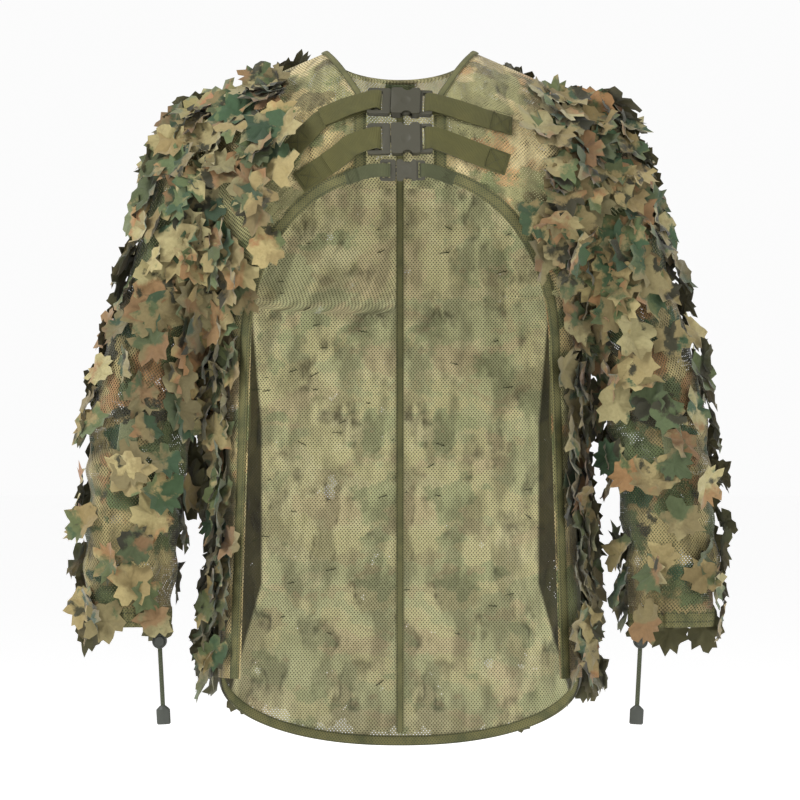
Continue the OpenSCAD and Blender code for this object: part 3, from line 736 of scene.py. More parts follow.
class Body:
    """The torso's front and back as height fields over x and d, and the edges of its panels."""

    def half(self, d: float) -> float:
        """Return half the body's width at drop d."""
        c = CUT
        if d < c.armpit_drop:
            return mix(c.shoulder_half, c.chest_half,
                       clamp((d - c.shoulder_drop) / (c.armpit_drop - c.shoulder_drop)))
        waist = 0.007 * math.sin(math.pi * clamp((d - c.armpit_drop) / 0.33))
        return c.chest_half - waist + 0.003 * clamp((d - 0.6) / 0.18)

    def ridge(self, x: float) -> float:
        """Return the drop of the shoulder line at x."""
        return CUT.shoulder_drop * clamp((abs(x) - CUT.neck_half) / (CUT.shoulder_half - CUT.neck_half))

    def roll(self, t: float, reach: float) -> float:
        """Return how much of its full depth the body has reached, t below the shoulder line."""
        s = clamp(t / reach)
        return max(0.0, 1.0 - (1.0 - s) ** 1.6) ** (1.0 / 1.6)

    def armhole_y(self, d: float) -> float:
        """Return half the depth of the armhole at drop d."""
        middle = (CUT.shoulder_drop + CUT.armpit_drop) / 2
        tall = (CUT.armpit_drop - CUT.shoulder_drop) / 2
        return CUT.armhole_half * math.sqrt(max(0.0, 1.0 - ((d - middle) / tall) ** 2))

    def point(self, face: Face, x: float, d: float) -> Vector:
        """Return the cloth's point.

        Args:
            face: Front or back.
            x: Signed X.
            d: Drop.

        Returns:
            The point.
        """
        c = CUT
        power = c.front_power if face is Face.FRONT else c.back_power
        depth = (c.front_depth - 0.008 * clamp((d - 0.3) / 0.3) if face is Face.FRONT
                 else c.back_depth + 0.006 * clamp((d - 0.45) / 0.25))
        share = min(1.0, abs(x) / self.half(d))
        bow = max(0.0, 1.0 - share ** power) ** (1.0 / power)
        edge = self.armhole_y(d)
        reach = c.front_roll if face is Face.FRONT else c.back_roll
        full = (edge + (depth - edge) * bow) * self.roll(d - self.ridge(x), reach)
        return Vector((x, c.ridge_y + face.value * full, -d))

    def normal(self, face: Face, x: float, d: float) -> Vector:
        """Return the cloth's outward normal."""
        step = 0.0005
        limit = self.half(d) - 2 * step
        x = max(-limit, min(limit, x))
        d = max(d, self.ridge(x) + 0.002)
        across = self.point(face, x + step, d) - self.point(face, x - step, d)
        down = self.point(face, x, d + step) - self.point(face, x, d - step)
        return across.cross(down).normalized() * face.value

    def front_edge(self, d: float) -> float:
        """Return the x of a front piece's inner edge: the V, the front edge, the arch, then the strip."""
        c = CUT
        if d < c.vee_drop:
            return mix(c.neck_half, c.gap_half, (d / c.vee_drop) ** 0.8)
        if d < c.arch_drop:
            return c.gap_half
        if d < c.arch_foot_drop:
            share = (c.arch_foot_drop - d) / (c.arch_foot_drop - c.arch_drop + 0.006)
            return max(c.gap_half, c.arch_half * max(0.0, 1.0 - share ** 2.2) ** (1.0 / 2.2))
        return c.arch_half + 0.012 * (d - c.arch_foot_drop) / (c.side_hem_drop - c.arch_foot_drop)

    def outer_edge(self, d: float) -> float:
        """Return the x of a panel's outer edge: the shoulder line, then the armhole or side seam."""
        if d < CUT.shoulder_drop:
            return mix(CUT.neck_half, CUT.shoulder_half, d / CUT.shoulder_drop)
        return self.half(d)

    def top_edge(self, x: float) -> float:
        """Return the drop of the back yoke's top edge at x: the neck, then the shoulder line."""
        if abs(x) < CUT.neck_half:
            return CUT.back_neck_drop * math.sqrt(1.0 - (x / CUT.neck_half) ** 2)
        return self.ridge(x)

    def tail_edge(self, share: float) -> float:
        """Return the drop of the rounded tail at a share of the half width."""
        return CUT.side_hem_drop + CUT.tail_fall * max(0.0, 1.0 - abs(share) ** 2.2) ** (1.0 / 2.2)


@dataclass(frozen=True)
class Station:
    """One cross-section of the sleeve, for the wearer's left, in metres."""

    inner_x: float
    inner_d: float
    outer_x: float
    outer_d: float
    half_depth: float
    middle_y: float


class Arm:
    """The sleeve's surface over k, the place along it, and t, the angle round from its top."""

    stations = (
        Station(0.203, 0.274, 0.212, 0.056, 0.067, 0.005),
        Station(0.205, 0.280, 0.231, 0.069, 0.068, 0.005),
        Station(0.208, 0.287, 0.252, 0.098, 0.068, 0.005),
        Station(0.211, 0.295, 0.271, 0.143, 0.068, 0.005),
        Station(0.215, 0.305, 0.287, 0.200, 0.067, 0.004),
        Station(0.220, 0.322, 0.304, 0.264, 0.066, 0.003),
        Station(0.227, 0.362, 0.327, 0.342, 0.064, 0.000),
        Station(0.234, 0.410, 0.340, 0.404, 0.061, -0.003),
        Station(0.245, 0.480, 0.349, 0.478, 0.056, -0.008),
        Station(0.254, 0.560, 0.352, 0.560, 0.050, -0.014),
        Station(0.259, 0.640, 0.349, 0.640, 0.042, -0.020),
    )
    last = len(stations) - 1

    def __init__(self, side: Side, body: Body) -> None:
        """Keep the side.

        Args:
            side: The wearer's side.
            body: The torso that the armhole is cut in.
        """
        self.side = side
        self.body = body

    def _at(self, index: int, t: float) -> Vector:
        """Return the point of one station at angle t, for the wearer's left."""
        s = self.stations[index]
        inner = Vector((s.inner_x, -s.inner_d))
        outer = Vector((s.outer_x, -s.outer_d))
        q = (inner + outer) / 2 + (outer - inner) / 2 * math.cos(t)
        drop = -q.y
        taper = 1.0
        if index == 0:
            taper = self.body.roll(drop - CUT.shoulder_drop, CUT.front_roll)
        if index == 1:
            taper = 0.5 + 0.5 * self.body.roll(drop - 0.069, 0.09)
        return Vector((q.x, s.middle_y - s.half_depth * math.sin(t) * taper, q.y))

    def point(self, k: float, t: float) -> Vector:
        """Return the sleeve's point, on a smooth curve through the stations.

        Args:
            k: Place along the sleeve, from 0 at the armhole to last at the cuff.
            t: Angle round from the top, in radians.

        Returns:
            The point, on the right side of the body for this sleeve.
        """
        low = int(min(self.last - 1, max(0, math.floor(k))))
        f = k - low
        a, b, c, e = (self._at(max(0, min(self.last, low + i)), t) for i in (-1, 0, 1, 2))
        p = 0.5 * (2 * b + (c - a) * f + (2 * a - 5 * b + 4 * c - e) * f * f
                   + (3 * b - a - 3 * c + e) * f ** 3)
        return Vector((p.x * self.side.value, p.y, p.z))

    def normal(self, k: float, t: float) -> Vector:
        """Return the sleeve's outward normal."""
        k = max(0.15, min(self.last - 0.05, k))
        along = self.point(k + 0.05, t) - self.point(k - 0.05, t)
        around = self.point(k, t + 0.03) - self.point(k, t - 0.03)
        return along.cross(around).normalized() * -self.side.value


class Drape:
    """Soft folds of the worn cloth, the same at one place whichever panel it is on."""

    def __init__(self, seed: float) -> None:
        """Keep the offset that the folds start from.

        Args:
            seed: Offset of the noise field.
        """
        self.seed = Vector((seed, seed * 0.7, seed * 1.3))

    def lift(self, p: Vector, depth: float, long_way: float = 0.0) -> float:
        """Return how far the cloth stands out at a point.

        Args:
            p: The point on the smooth surface.
            depth: Size of the largest folds.
            long_way: How much the folds stretch down the body, from 0 to 1.

        Returns:
            The distance along the normal.
        """
        stretch = mix(1.0, 0.35, long_way)
        q = Vector((p.x, p.y, p.z * stretch)) + self.seed
        wide = noise.noise(q * 9.0)
        bent = q + Vector((wide, -wide, wide)) * 0.02
        folds = 1.0 - 2.2 * abs(noise.noise(bent * 17.0))
        small = 1.0 - 2.0 * abs(noise.noise(bent * 38.0 + Vector((4.0, 1.0, 2.0))))
        return depth * (0.5 * wide + 0.36 * folds + 0.16 * small)


# ---- Making pieces ----


def keep(bm: bmesh.types.BMesh, name: str, flat: bool = False) -> Piece:
    """Turn a bmesh into a smooth-shaded piece at the origin.

    Args:
        bm: The bmesh, which is freed.
        name: The piece's name.
        flat: Whether its faces keep their facets.

    Returns:
        The piece.
    """
    mesh = bpy.data.meshes.new(name)
    for face in bm.faces:
        face.smooth = not flat
    bm.to_mesh(mesh)
    bm.free()
    piece = bpy.data.objects.new(name, mesh)
    bpy.context.scene.collection.objects.link(piece)
    log.info("made %s: %d faces", name, len(mesh.polygons))
    return piece


@dataclass
class Cloth:
    """A grid of cloth: a place for each share across and along it, and its cloth coordinates in metres."""

    name: str
    cols: int
    rows: int
    place: Place
    outward: Callable[[float, float], Vector]
    smooth_place: Place | None = None
    flat: Callable[[float, float], tuple[float, float]] | None = None
    area: float = field(default=0.0, init=False)

    def build(self, thickness: float = 0.0) -> Piece:
        """Make the sheet, with its coordinates laid out by length across and along.

        Args:
            thickness: Thickness to give it, or 0 for a single skin.

        Returns:
            The piece.
        """
        bm = bmesh.new()
        bmesh.ops.create_grid(bm, x_segments=self.cols, y_segments=self.rows, size=1.0)
        grid: Grid = {}
        for vert in bm.verts:
            c = round((vert.co.x + 1) / 2 * self.cols)
            r = round((vert.co.y + 1) / 2 * self.rows)
            grid[r, c] = vert
        for (r, c), vert in grid.items():
            vert.co = self.place(c / self.cols, r / self.rows)
        flat = self._coordinates(grid)
        layer = bm.loops.layers.uv.new(UV_NAME)
        for face in bm.faces:
            for loop in face.loops:
                loop[layer].uv = flat[loop.vert.index]
        bm.normal_update()
        middle = grid[self.rows // 2, self.cols // 2]
        if middle.normal.dot(self.outward(0.5, 0.5)) < 0:
            bmesh.ops.reverse_faces(bm, faces=bm.faces)
        self.area = sum(face.calc_area() for face in bm.faces)
        piece = keep(bm, self.name)
        if thickness:
            solid = piece.modifiers.new("Thickness", "SOLIDIFY")
            solid.thickness = thickness
            solid.offset = 1.0
        return piece

    def _coordinates(self, grid: Grid) -> dict[int, tuple[float, float]]:
        """Return each vertex's place on the flat cloth, without its folds."""
        if self.flat:
            return {vert.index: self.flat(c / self.cols, r / self.rows) for (r, c), vert in grid.items()}
        measure = self.smooth_place or self.place
        spots = {(r, c): measure(c / self.cols, r / self.rows) for r, c in grid}
        across: dict[tuple[int, int], float] = {}
        down: dict[tuple[int, int], float] = {}
        for r in range(self.rows + 1):
            across[r, 0] = spots[r, 0].x
            for c in range(1, self.cols + 1):
                across[r, c] = across[r, c - 1] + (spots[r, c] - spots[r, c - 1]).length
        for c in range(self.cols + 1):
            down[0, c] = -spots[0, c].z
            for r in range(1, self.rows + 1):
                step = spots[r, c] - spots[r - 1, c]
                down[r, c] = down[r - 1, c] + math.hypot(step.y, step.z)
        return {vert.index: (across[key], down[key]) for key, vert in grid.items()}


@dataclass
class Band:
    """A flat band swept along a line: webbing, tape or binding."""

    name: str
    width: float
    thickness: float
    centres: list[Vector]
    outward: list[Vector]
    crown: float = 0.0
    cols: int = 4

    def build(self) -> Piece:
        """Make the band, with coordinates along it and across its middle.

        Returns:
            The piece.
        """
        rows = len(self.centres) - 1
        bm = bmesh.new()
        bmesh.ops.create_grid(bm, x_segments=self.cols, y_segments=rows, size=1.0)
        layer = bm.loops.layers.uv.new(UV_NAME)
        lengths = [0.0]
        for a, b in zip(self.centres, self.centres[1:]):
            lengths.append(lengths[-1] + (b - a).length)
        flat: dict[int, tuple[float, float]] = {}
        for vert in bm.verts:
            across = vert.co.x
            r = round((vert.co.y + 1) / 2 * rows)
            along = (self.centres[min(rows, r + 1)] - self.centres[max(0, r - 1)]).normalized()
            up = self.outward[r]
            wide = along.cross(up).normalized()
            vert.co = (self.centres[r] + wide * across * self.width / 2
                       + up * self.crown * (1.0 - across * across))
            flat[vert.index] = (lengths[r], across * self.width / 2)
        for face in bm.faces:
            for loop in face.loops:
                loop[layer].uv = flat[loop.vert.index]
        bm.normal_update()
        bm.faces.ensure_lookup_table()
        if bm.faces[0].normal.dot(self.outward[0]) < 0:
            bmesh.ops.reverse_faces(bm, faces=bm.faces)
        piece = keep(bm, self.name)
        solid = piece.modifiers.new("Thickness", "SOLIDIFY")
        solid.thickness = self.thickness
        solid.offset = 1.0
        rounding = piece.modifiers.new("Rounded edges", "BEVEL")
        rounding.width = self.thickness * 0.3
        rounding.segments = 2
        return piece


def round_edges(piece: Piece, width: float, angle: float) -> None:
    """Round a moulded piece's edges that turn by more than an angle in degrees."""
    bevel = piece.modifiers.new("Rounded edges", "BEVEL")
    bevel.width = width
    bevel.segments = 3
    bevel.limit_method = "ANGLE"
    bevel.angle_limit = math.radians(angle)


def tube(name: str, path: Sequence[Vector], radius: float, sides: int = 12) -> Piece:
    """Make a round tube along a path.

    Args:
        name: The piece's name.
        path: The points of its middle line.
        radius: Its radius.
        sides: Faces round it.

    Returns:
        The piece, with coordinates as a share round it and metres along it.
    """
    bm = bmesh.new()
    rings: list[list[bmesh.types.BMEdge]] = []
    places: dict[bmesh.types.BMVert, tuple[int, float]] = {}
    length = 0.0
    for i, p in enumerate(path):
        if i:
            length += (p - path[i - 1]).length
        along = (path[min(len(path) - 1, i + 1)] - path[max(0, i - 1)]).normalized()
        turn = Vector((0, 0, 1)).rotation_difference(along).to_matrix().to_4x4()
        place = Matrix.Translation(p) @ turn
        made = bmesh.ops.create_circle(bm, segments=sides, radius=radius, matrix=place)
        for j, vert in enumerate(made["verts"]):
            places[vert] = (j, length)
        rings.append(list({edge for vert in made["verts"] for edge in vert.link_edges}))
    for a, b in zip(rings, rings[1:]):
        bmesh.ops.bridge_loops(bm, edges=a + b)
    bmesh.ops.holes_fill(bm, edges=rings[0], sides=sides)
    bmesh.ops.holes_fill(bm, edges=rings[-1], sides=sides)
    bmesh.ops.recalc_face_normals(bm, faces=bm.faces)
    layer = bm.loops.layers.uv.new(UV_NAME)
    for face in bm.faces:
        steps = [places[loop.vert][0] for loop in face.loops]
        wraps = max(steps) - min(steps) > sides // 2 and len(steps) == 4
        for loop in face.loops:
            j, distance = places[loop.vert]
            j += sides if wraps and j < sides // 2 else 0
            loop[layer].uv = (j / sides, distance)
    return keep(bm, name)


# ---- Stage ----


@dataclass
class Studio:
    """Camera level with the middle of the jacket, straight in front, with soft light and a pale floor."""

    distance: float = 8.0
    covers: float = 0.90
    floor_gap: float = 0.12
    margin: float = 30.0
    backdrop: float = 0.97
    ambient: float = 0.58
    floor_glow: float = 0.42

    def build(self, low: Vector, high: Vector) -> None:
        """Add the camera, the lights, the world and the floor.

        Args:
            low: The object's lowest corner.
            high: Its highest corner.
        """
        scene = bpy.context.scene
        middle = (Vector(low) + Vector(high)) / 2
        camera = bpy.data.objects.new("Camera", bpy.data.cameras.new("Camera"))
        camera.data.sensor_width = 36.0
        camera.data.lens = 36.0 * self.distance / self.covers
        camera.location = (0.0, middle.y - self.distance, middle.z)
        camera.rotation_euler = (math.pi / 2, 0.0, 0.0)
        scene.collection.objects.link(camera)
        scene.camera = camera
        world = bpy.data.worlds.new("White room")
        world.use_nodes = True
        w = Wiring(world.node_tree)
        background = world.node_tree.nodes["Background"]
        background.inputs["Color"].default_value = (1.0, 1.0, 1.0, 1.0)
        seen = w.times(w.node("LightPath").outputs["Is Camera Ray"], self.backdrop - self.ambient)
        w.tree.links.new(w.math("ADD", seen, self.ambient), background.inputs["Strength"])
        scene.world = world
        self._light("Key", (-2.3, -1.8, 2.0), 1.3, 92.0, middle)
        self._light("Fill", (2.0, -2.2, 0.5), 2.2, 24.0, middle)
        self._light("Back left", (-1.6, 2.4, 1.2), 2.0, 26.0, middle)
        self._light("Back right", (1.8, 2.2, 0.9), 2.0, 22.0, middle)
        self._floor(low.z - self.floor_gap)
        scene.view_settings.view_transform = "Standard"

    def _light(self, name: str, place: Sequence[float], size: float, power: float, target: Vector) -> None:
        """Add a large square light that faces the jacket."""
        data = bpy.data.lights.new(name, "AREA")
        data.size = size
        data.energy = power
        lamp = bpy.data.objects.new(name, data)
        lamp.location = place
        lamp.rotation_euler = (target - lamp.location).to_track_quat("-Z", "Y").to_euler()
        bpy.context.scene.collection.objects.link(lamp)

    def _floor(self, height: float) -> None:
        """Add the pale floor."""
        bm = bmesh.new()
        bmesh.ops.create_grid(bm, x_segments=1, y_segments=1, size=self.margin)
        bmesh.ops.translate(bm, verts=bm.verts, vec=(0.0, 0.0, height))
        floor = keep(bm, "Floor", flat=True)
        material = bpy.data.materials.new("Pale floor")
        material.use_nodes = True
        shader = material.node_tree.nodes["Principled BSDF"]
        shader.inputs["Base Color"].default_value = (0.93, 0.93, 0.93, 1.0)
        shader.inputs["Roughness"].default_value = 0.9
        shader.inputs["Emission Color"].default_value = (1.0, 1.0, 1.0, 1.0)
        shader.inputs["Emission Strength"].default_value = self.floor_glow
        floor.data.materials.append(material)
        floor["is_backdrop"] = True


# ---- Torso ----


@dataclass
class Torso:
    """Yokes, back panels and side panels of open mesh, with their seams."""

    body: Body
    drape: Drape
    finishes: Finishes
    fold_depth: float = 0.0095
    seam_fade: float = 0.022
    narrowest: float = 0.06
    turn_in: float = 0.05
    ease: float = 1.02

    def build(self) -> None:
        """Make every torso panel."""
        self._back_yoke()
        for side in Side:
            self._back_panel(side)
            self._front_yoke(side)
            self._strip(side)

    def sheet(self, name: str, cols: int, rows: int, spot: Callable[[float, float], Spot],
              outward: Vector) -> Cloth:
        """Return a panel's cloth, with its folds left out of its cloth coordinates.

        Args:
            name: The piece's name.
            cols: Faces across it.
            rows: Faces down it.
            spot: Where each share across and down it lies.
            outward: Roughly where its outer face looks.

        Returns:
            The cloth.
        """
        def folded(u: float, v: float) -> Vector:
            """Return the draped point."""
            return self.folded(*spot(u, v))

        def smooth_place(u: float, v: float) -> Vector:
            """Return the point without its folds."""
            face, x, d, _, _ = spot(u, v)
            return self.body.point(face, x, d)

        return Cloth(name, cols, rows, folded, lambda u, v: outward, smooth_place)

    def folded(self, face: Face, x: float, d: float, fade: float, long_way: float = 0.3) -> Vector:
        """Return a point of the draped cloth.

        Args:
            face: Front or back.
            x: Signed X.
            d: Drop.
            fade: How much of the folds to keep, from 0 at a seam to 1.
            long_way: How much the folds stretch down the body.

        Returns:
            The point.
        """
        p = self.body.point(face, x, d)
        return p + self.body.normal(face, x, d) * self.drape.lift(p, self.fold_depth, long_way) * fade

    def _fade(self, *distances: float) -> float:
        """Return 0 at a seam and 1 well away from it, from the distances to the seams."""
        share = 1.0
        for distance in distances:
            share *= smooth(0.0, self.seam_fade, abs(distance))
        return share

    def _finish(self, cloth: Cloth, key: str, node: str) -> None:
        piece = cloth.build()
        self.finishes.dress(piece, key)
        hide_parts(node)
        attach(piece, "torso")
        low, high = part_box(node)
        width = max(high[0] - low[0], self.narrowest) + self.turn_in

    def _back_yoke(self) -> None:
        """Make the back yoke, from the neck and shoulders to the yoke seam."""
        body = self.body

        def spot(u: float, v: float) -> Spot:
            """Return where the yoke lies."""
            share = math.sin((2 * u - 1) * math.pi / 2)
            top = body.top_edge(share * CUT.shoulder_half)
            d = mix(top, CUT.yoke_drop, v ** 1.7)
            x = share * body.half(d)
            fade = self._fade(d - top, CUT.yoke_drop - d, body.half(d) - abs(x))
            return Face.BACK, x, d, fade * 0.6, 0.3

        cloth = self.sheet("back_yoke_mesh", 96, 44, spot, body.normal(Face.BACK, 0.0, 0.09))
        self._finish(cloth, "back_mesh", "back_yoke")

    def _back_panel(self, side: Side) -> None:
        """Make one half of the back, from the yoke seam to the rounded tail."""
        body = self.body

        def spot(u: float, v: float) -> Spot:
            """Return where the panel lies."""
            share = math.sin(u * math.pi / 2) if side is Side.LEFT else math.sin((u - 1) * math.pi / 2)
            d = mix(CUT.yoke_drop, body.tail_edge(share), v)
            x = share * body.half(d)
            fade = self._fade(x * 1.6, CUT.yoke_drop - d, (body.half(d) - abs(x)) * 2.0,
                              (body.tail_edge(share) - d) * 0.7)
            return Face.BACK, x, d, fade, 0.3

        cloth = self.sheet(f"back_mesh_{side.word}", 84, 230, spot, Vector((0, 1, 0)))
        self._finish(cloth, "back_mesh", f"back_panel_{side.word}")

    def _front_yoke(self, side: Side) -> None:
        """Make one front yoke, from the V and the front edge out to the armhole."""
        body = self.body

        def spot(u: float, v: float) -> Spot:
            """Return where the yoke lies."""
            d = mix(0.0002, CUT.armpit_drop, v ** 1.25)
            share = math.sin((u if side is Side.LEFT else 1 - u) * math.pi / 2)
            inner, outer = body.front_edge(d), body.outer_edge(d)
            x = side.value * mix(inner, outer, share)
            fade = self._fade(abs(x) - inner, outer - abs(x), d - body.ridge(x))
            free = max(smooth(0.125, 0.17, abs(x)), smooth(0.16, 0.20, d))
            return Face.FRONT, x, d, fade * 0.8 * free, 0.3

        cloth = self.sheet(f"front_yoke_mesh_{side.word}", 60, 110, spot, Vector((0, -1, 0.2)))
        self._finish(cloth, "front_mesh", f"front_yoke_{side.word}")

    def _strip(self, side: Side) -> None:
        """Make the narrow front strip below the armpit."""
        body = self.body

        def spot(u: float, v: float) -> Spot:
            """Return where the strip lies."""
            d = mix(CUT.armpit_drop, CUT.side_hem_drop, v)
            share = math.sin((u if side is Side.LEFT else 1 - u) * math.pi / 2)
            x = side.value * mix(body.front_edge(d), body.half(d), share)
            fade = self._fade(abs(x) - body.front_edge(d), (body.half(d) - abs(x)) * 2.5)
            return Face.FRONT, x, d, fade, 0.6

        cloth = self.sheet(f"side_mesh_{side.word}", 28, 150, spot, Vector((side.value * 0.3, -1, 0)))
        self._finish(cloth, "front_mesh", f"side_panel_{side.word}")


@dataclass
class Sleeve:
    """One sleeve of open mesh with its cuff casing, which bends where it leaves the armhole."""

    arm: Arm
    drape: Drape
    finishes: Finishes
    fold_depth: float = 0.008
    bend_span: float = 0.087

    @property
    def word(self) -> str:
        """Return the side's name."""
        return self.arm.side.word

    def bend(self, piece: Piece) -> None:
        """Bake a piece's transform into its mesh."""
        f"sleeve_{self.word}"
        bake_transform(piece)

    def folded(self, k: float, t: float) -> Vector:
        """Return a point of the draped sleeve."""
        p = self.arm.point(k, t)
        fade = smooth(0.0, 0.7, k) * smooth(0.0, 0.5, Arm.last - k)
        depth = self.fold_depth * mix(0.7, 1.15, smooth(2.0, 6.0, k))
        ruck = math.sin(k * 9.0 + 2.2 * math.sin(t) + noise.noise(p * 8.0) * 3.0)
        lift = self.drape.lift(p, depth) + 0.0022 * ruck * smooth(4.0, 8.0, k)
        return p + self.arm.normal(k, t) * lift * fade

    def build(self) -> None:
        """Make the sleeve and its casing."""
        def place(u: float, v: float) -> Vector:
            """Return the sleeve's point; its seam is under the arm."""
            return self.folded(v * Arm.last, math.pi + u * TAU)

        rows = 170
        front = [self.arm.point(Arm.last * r / rows, math.pi / 2) for r in range(rows + 1)]
        down = [0.0]
        for a, b in zip(front, front[1:]):
            down.append(down[-1] + (b - a).length)
        girths = [self._girth(Arm.last * r / rows) for r in range(rows + 1)]

        def flat(u: float, v: float) -> tuple[float, float]:
            """Return a place on the flat cloth: round the sleeve and down its front."""
            r = round(v * rows)
            return ((u - 0.5) * girths[r], down[r])

        cloth = Cloth(f"sleeve_mesh_{self.word}", 96, rows, place, lambda u, v: self.arm.normal(5.0, 0.0),
                      flat=flat)
        piece = cloth.build()
        self.finishes.dress(piece, "sleeve_mesh")
        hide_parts(f"sleeve_outer_{self.word}", f"sleeve_inner_{self.word}")
        min(cloth.area, 0.27)
        self.bend(piece)
        self._casing()

    def _girth(self, k: float) -> float:
        """Return the length round the sleeve at a place down it."""
        sides = 36
        ring = [self.arm.point(k, TAU * i / sides) for i in range(sides)]
        return sum((a - b).length for a, b in zip(ring, ring[1:] + ring[:1]))

    def _casing(self) -> None:
        """Make the gathered casing round the cuff."""
        rounds = 120
        centres, normals = [], []
        for i in range(rounds + 1):
            t = math.pi + TAU * i / rounds
            gather = 0.0010 * math.sin(34 * t) + 0.0006 * math.sin(13 * t)
            normal = self.arm.normal(Arm.last - 0.1, t)
            centres.append(self.arm.point(Arm.last - 0.13, t) + normal * (0.0006 + gather))
            normals.append(normal)
        piece = Band(f"cuff_binding_{self.word}", 0.022, 0.0014, centres, normals, crown=0.0008).build()
        self.finishes.dress(piece, "hem")
        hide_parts(f"cuff_casing_{self.word}")
        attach(piece, f"sleeve_{self.word}")


# ---- Bindings, tapes and tacks ----


@dataclass
class Trim:
    """The tapes that bind the jacket's edges and cover its seams."""

    body: Body
    finishes: Finishes
    bound: float = 0.014
    thickness: float = 0.0012

    def build(self) -> None:
        """Make every tape."""
        self._neck()
        for side in Side:
            self._arch(side)
            self._armhole(side)
        self._tail()
        self._centre_seam()
        self._yoke_seam()

    def _band(self, name: str, places: Iterable[tuple[Face, float, float]], width: float, key: str,
              nodes: Sequence[str] = (), lift: float = 0.0006, inside: bool = False) -> Piece:
        """Make a tape along places on the body.

        Args:
            name: The piece's name.
            places: Face, signed x and drop of each point.
            width: The tape's width.
            key: Its finish.
            nodes: CAD nodes that it stands for.
            lift: How far it stands off the cloth.
            inside: Whether it lies on the inner face.

        Returns:
            The piece.
        """
        way = -1.0 if inside else 1.0
        centres, normals = [], []
        for face, x, d in places:
            normal = self.body.normal(face, x, d) * way
            centres.append(self.body.point(face, x, d) + normal * lift)
            normals.append(normal)
        piece = Band(name, width, self.thickness, centres, normals, crown=0.0006).build()
        self.finishes.dress(piece, key)
        if nodes:
            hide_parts(*nodes)
        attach(piece, "torso")
        return piece

    def _neck(self) -> None:
        """Bind the V of the neck and the back neckline."""
        c = CUT
        inset = 0.0035
        places: list[tuple[Face, float, float]] = []
        drops = [c.vee_drop * (i / 30) ** 1.4 for i in range(30, 0, -1)]
        front = [(self.body.front_edge(d) + inset, d) for d in drops]
        around = [(math.cos(math.pi * i / 40), math.sin(math.pi * i / 40)) for i in range(1, 40)]
        places += [(Face.FRONT, -x, d + 0.001) for x, d in front]
        wide, deep = c.neck_half + 0.001, c.back_neck_drop + inset
        places += [(Face.BACK, -wide * x, deep * y) for x, y in around]
        places += [(Face.FRONT, x, d + 0.001) for x, d in reversed(front)]
        self._band("neck_binding_tape", places, 0.007, "seam", ["neck_binding"])

    def _arch(self, side: Side) -> None:
        """Bind the front edge, the arch and the edge of the strip in one run."""
        c = CUT
        inset = self.bound * 0.45
        places: list[tuple[Face, float, float]] = []
        for i in range(12):
            places.append((Face.FRONT, c.gap_half + inset, mix(c.vee_drop, c.arch_drop - 0.012, i / 12)))
        corner = 8
        for i in range(corner):
            turn = math.pi / 2 * i / corner
            x = c.gap_half + inset + 0.010 * (1 - math.cos(turn))
            places.append((Face.FRONT, x, c.arch_drop - 0.012 + 0.004 * math.sin(turn)))
        steps = 60
        for i in range(2, steps + 1):
            turn = math.pi / 2 * i / steps
            reach = c.arch_foot_drop - c.arch_drop + 0.006
            x = c.arch_half * math.sin(turn) ** (2.0 / 2.2)
            d = c.arch_foot_drop - reach * math.cos(turn) ** (2.0 / 2.2)
            out = Vector((math.sin(turn), -math.cos(turn))) * inset
            if x + out.x > c.gap_half + inset + 0.012:
                places.append((Face.FRONT, x + out.x, d + out.y))
        for i in range(1, 61):
            d = mix(c.arch_foot_drop, c.side_hem_drop, i / 60)
            places.append((Face.FRONT, self.body.front_edge(d) + inset, d))
        signed = [(face, side.value * x, d) for face, x, d in places]
        self._band(f"arch_binding_tape_{side.word}", signed, self.bound, "hem", [f"arch_binding_{side.word}"])

    def _armhole(self, side: Side) -> None:
        """Cover the armhole seam with a narrow welt."""
        steps = 90
        centres, normals = [], []
        middle = Vector((side.value * 0.2075, CUT.ridge_y, -(CUT.shoulder_drop + CUT.armpit_drop) / 2))
        for i in range(steps + 1):
            t = TAU * i / steps
            d = middle.z * -1 - math.cos(t) * (CUT.armpit_drop - CUT.shoulder_drop) / 2
            face = Face.FRONT if math.sin(t) < 0 else Face.BACK
            point = self.body.point(face, side.value * self.body.half(d), d)
            out = Vector((0.0, point.y - middle.y, point.z - middle.z)).normalized()
            centres.append(point + out * 0.0012)
            normals.append((out + Vector((side.value * 0.35, 0, 0))).normalized())
        piece = Band(f"armhole_seam_{side.word}", 0.006, 0.001, centres, normals, crown=0.0012).build()
        self.finishes.dress(piece, "tape")
        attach(piece, "torso")

    def _tail(self) -> None:
        """Bind the rounded tail."""
        places = []
        steps = 120
        for i in range(steps + 1):
            share = math.sin((i / steps - 0.5) * math.pi)
            d = self.body.tail_edge(share) - 0.005
            places.append((Face.BACK, share * (self.body.half(d) - 0.002), d))
        self._band("tail_binding_tape", places, 0.011, "hem", ["tail_binding"])
        self._band("tail_facing_tape", places, 0.011, "hem", inside=True)

    def _centre_seam(self) -> None:
        """Cover the centre-back seam inside, with the wide neck reinforcement above it."""
        drops = [mix(CUT.back_neck_drop + 0.004, 0.770, i / 90) for i in range(91)]
        self._band("centre_seam_tape", [(Face.BACK, 0.0, d) for d in drops], 0.008, "seam", ["back_seam_tape"],
                   lift=0.0012, inside=True)
        outer = [mix(CUT.back_neck_drop + 0.004, 0.772, i / 90) for i in range(91)]
        self._band("centre_seam_welt", [(Face.BACK, 0.0, d) for d in outer], 0.008, "seam")
        wide = [mix(CUT.back_neck_drop + 0.003, 0.062, i / 10) for i in range(11)]
        self._band("neck_reinforcement", [(Face.BACK, 0.0, d) for d in wide], 0.033, "neck_mesh", lift=0.0024,
                   inside=True)

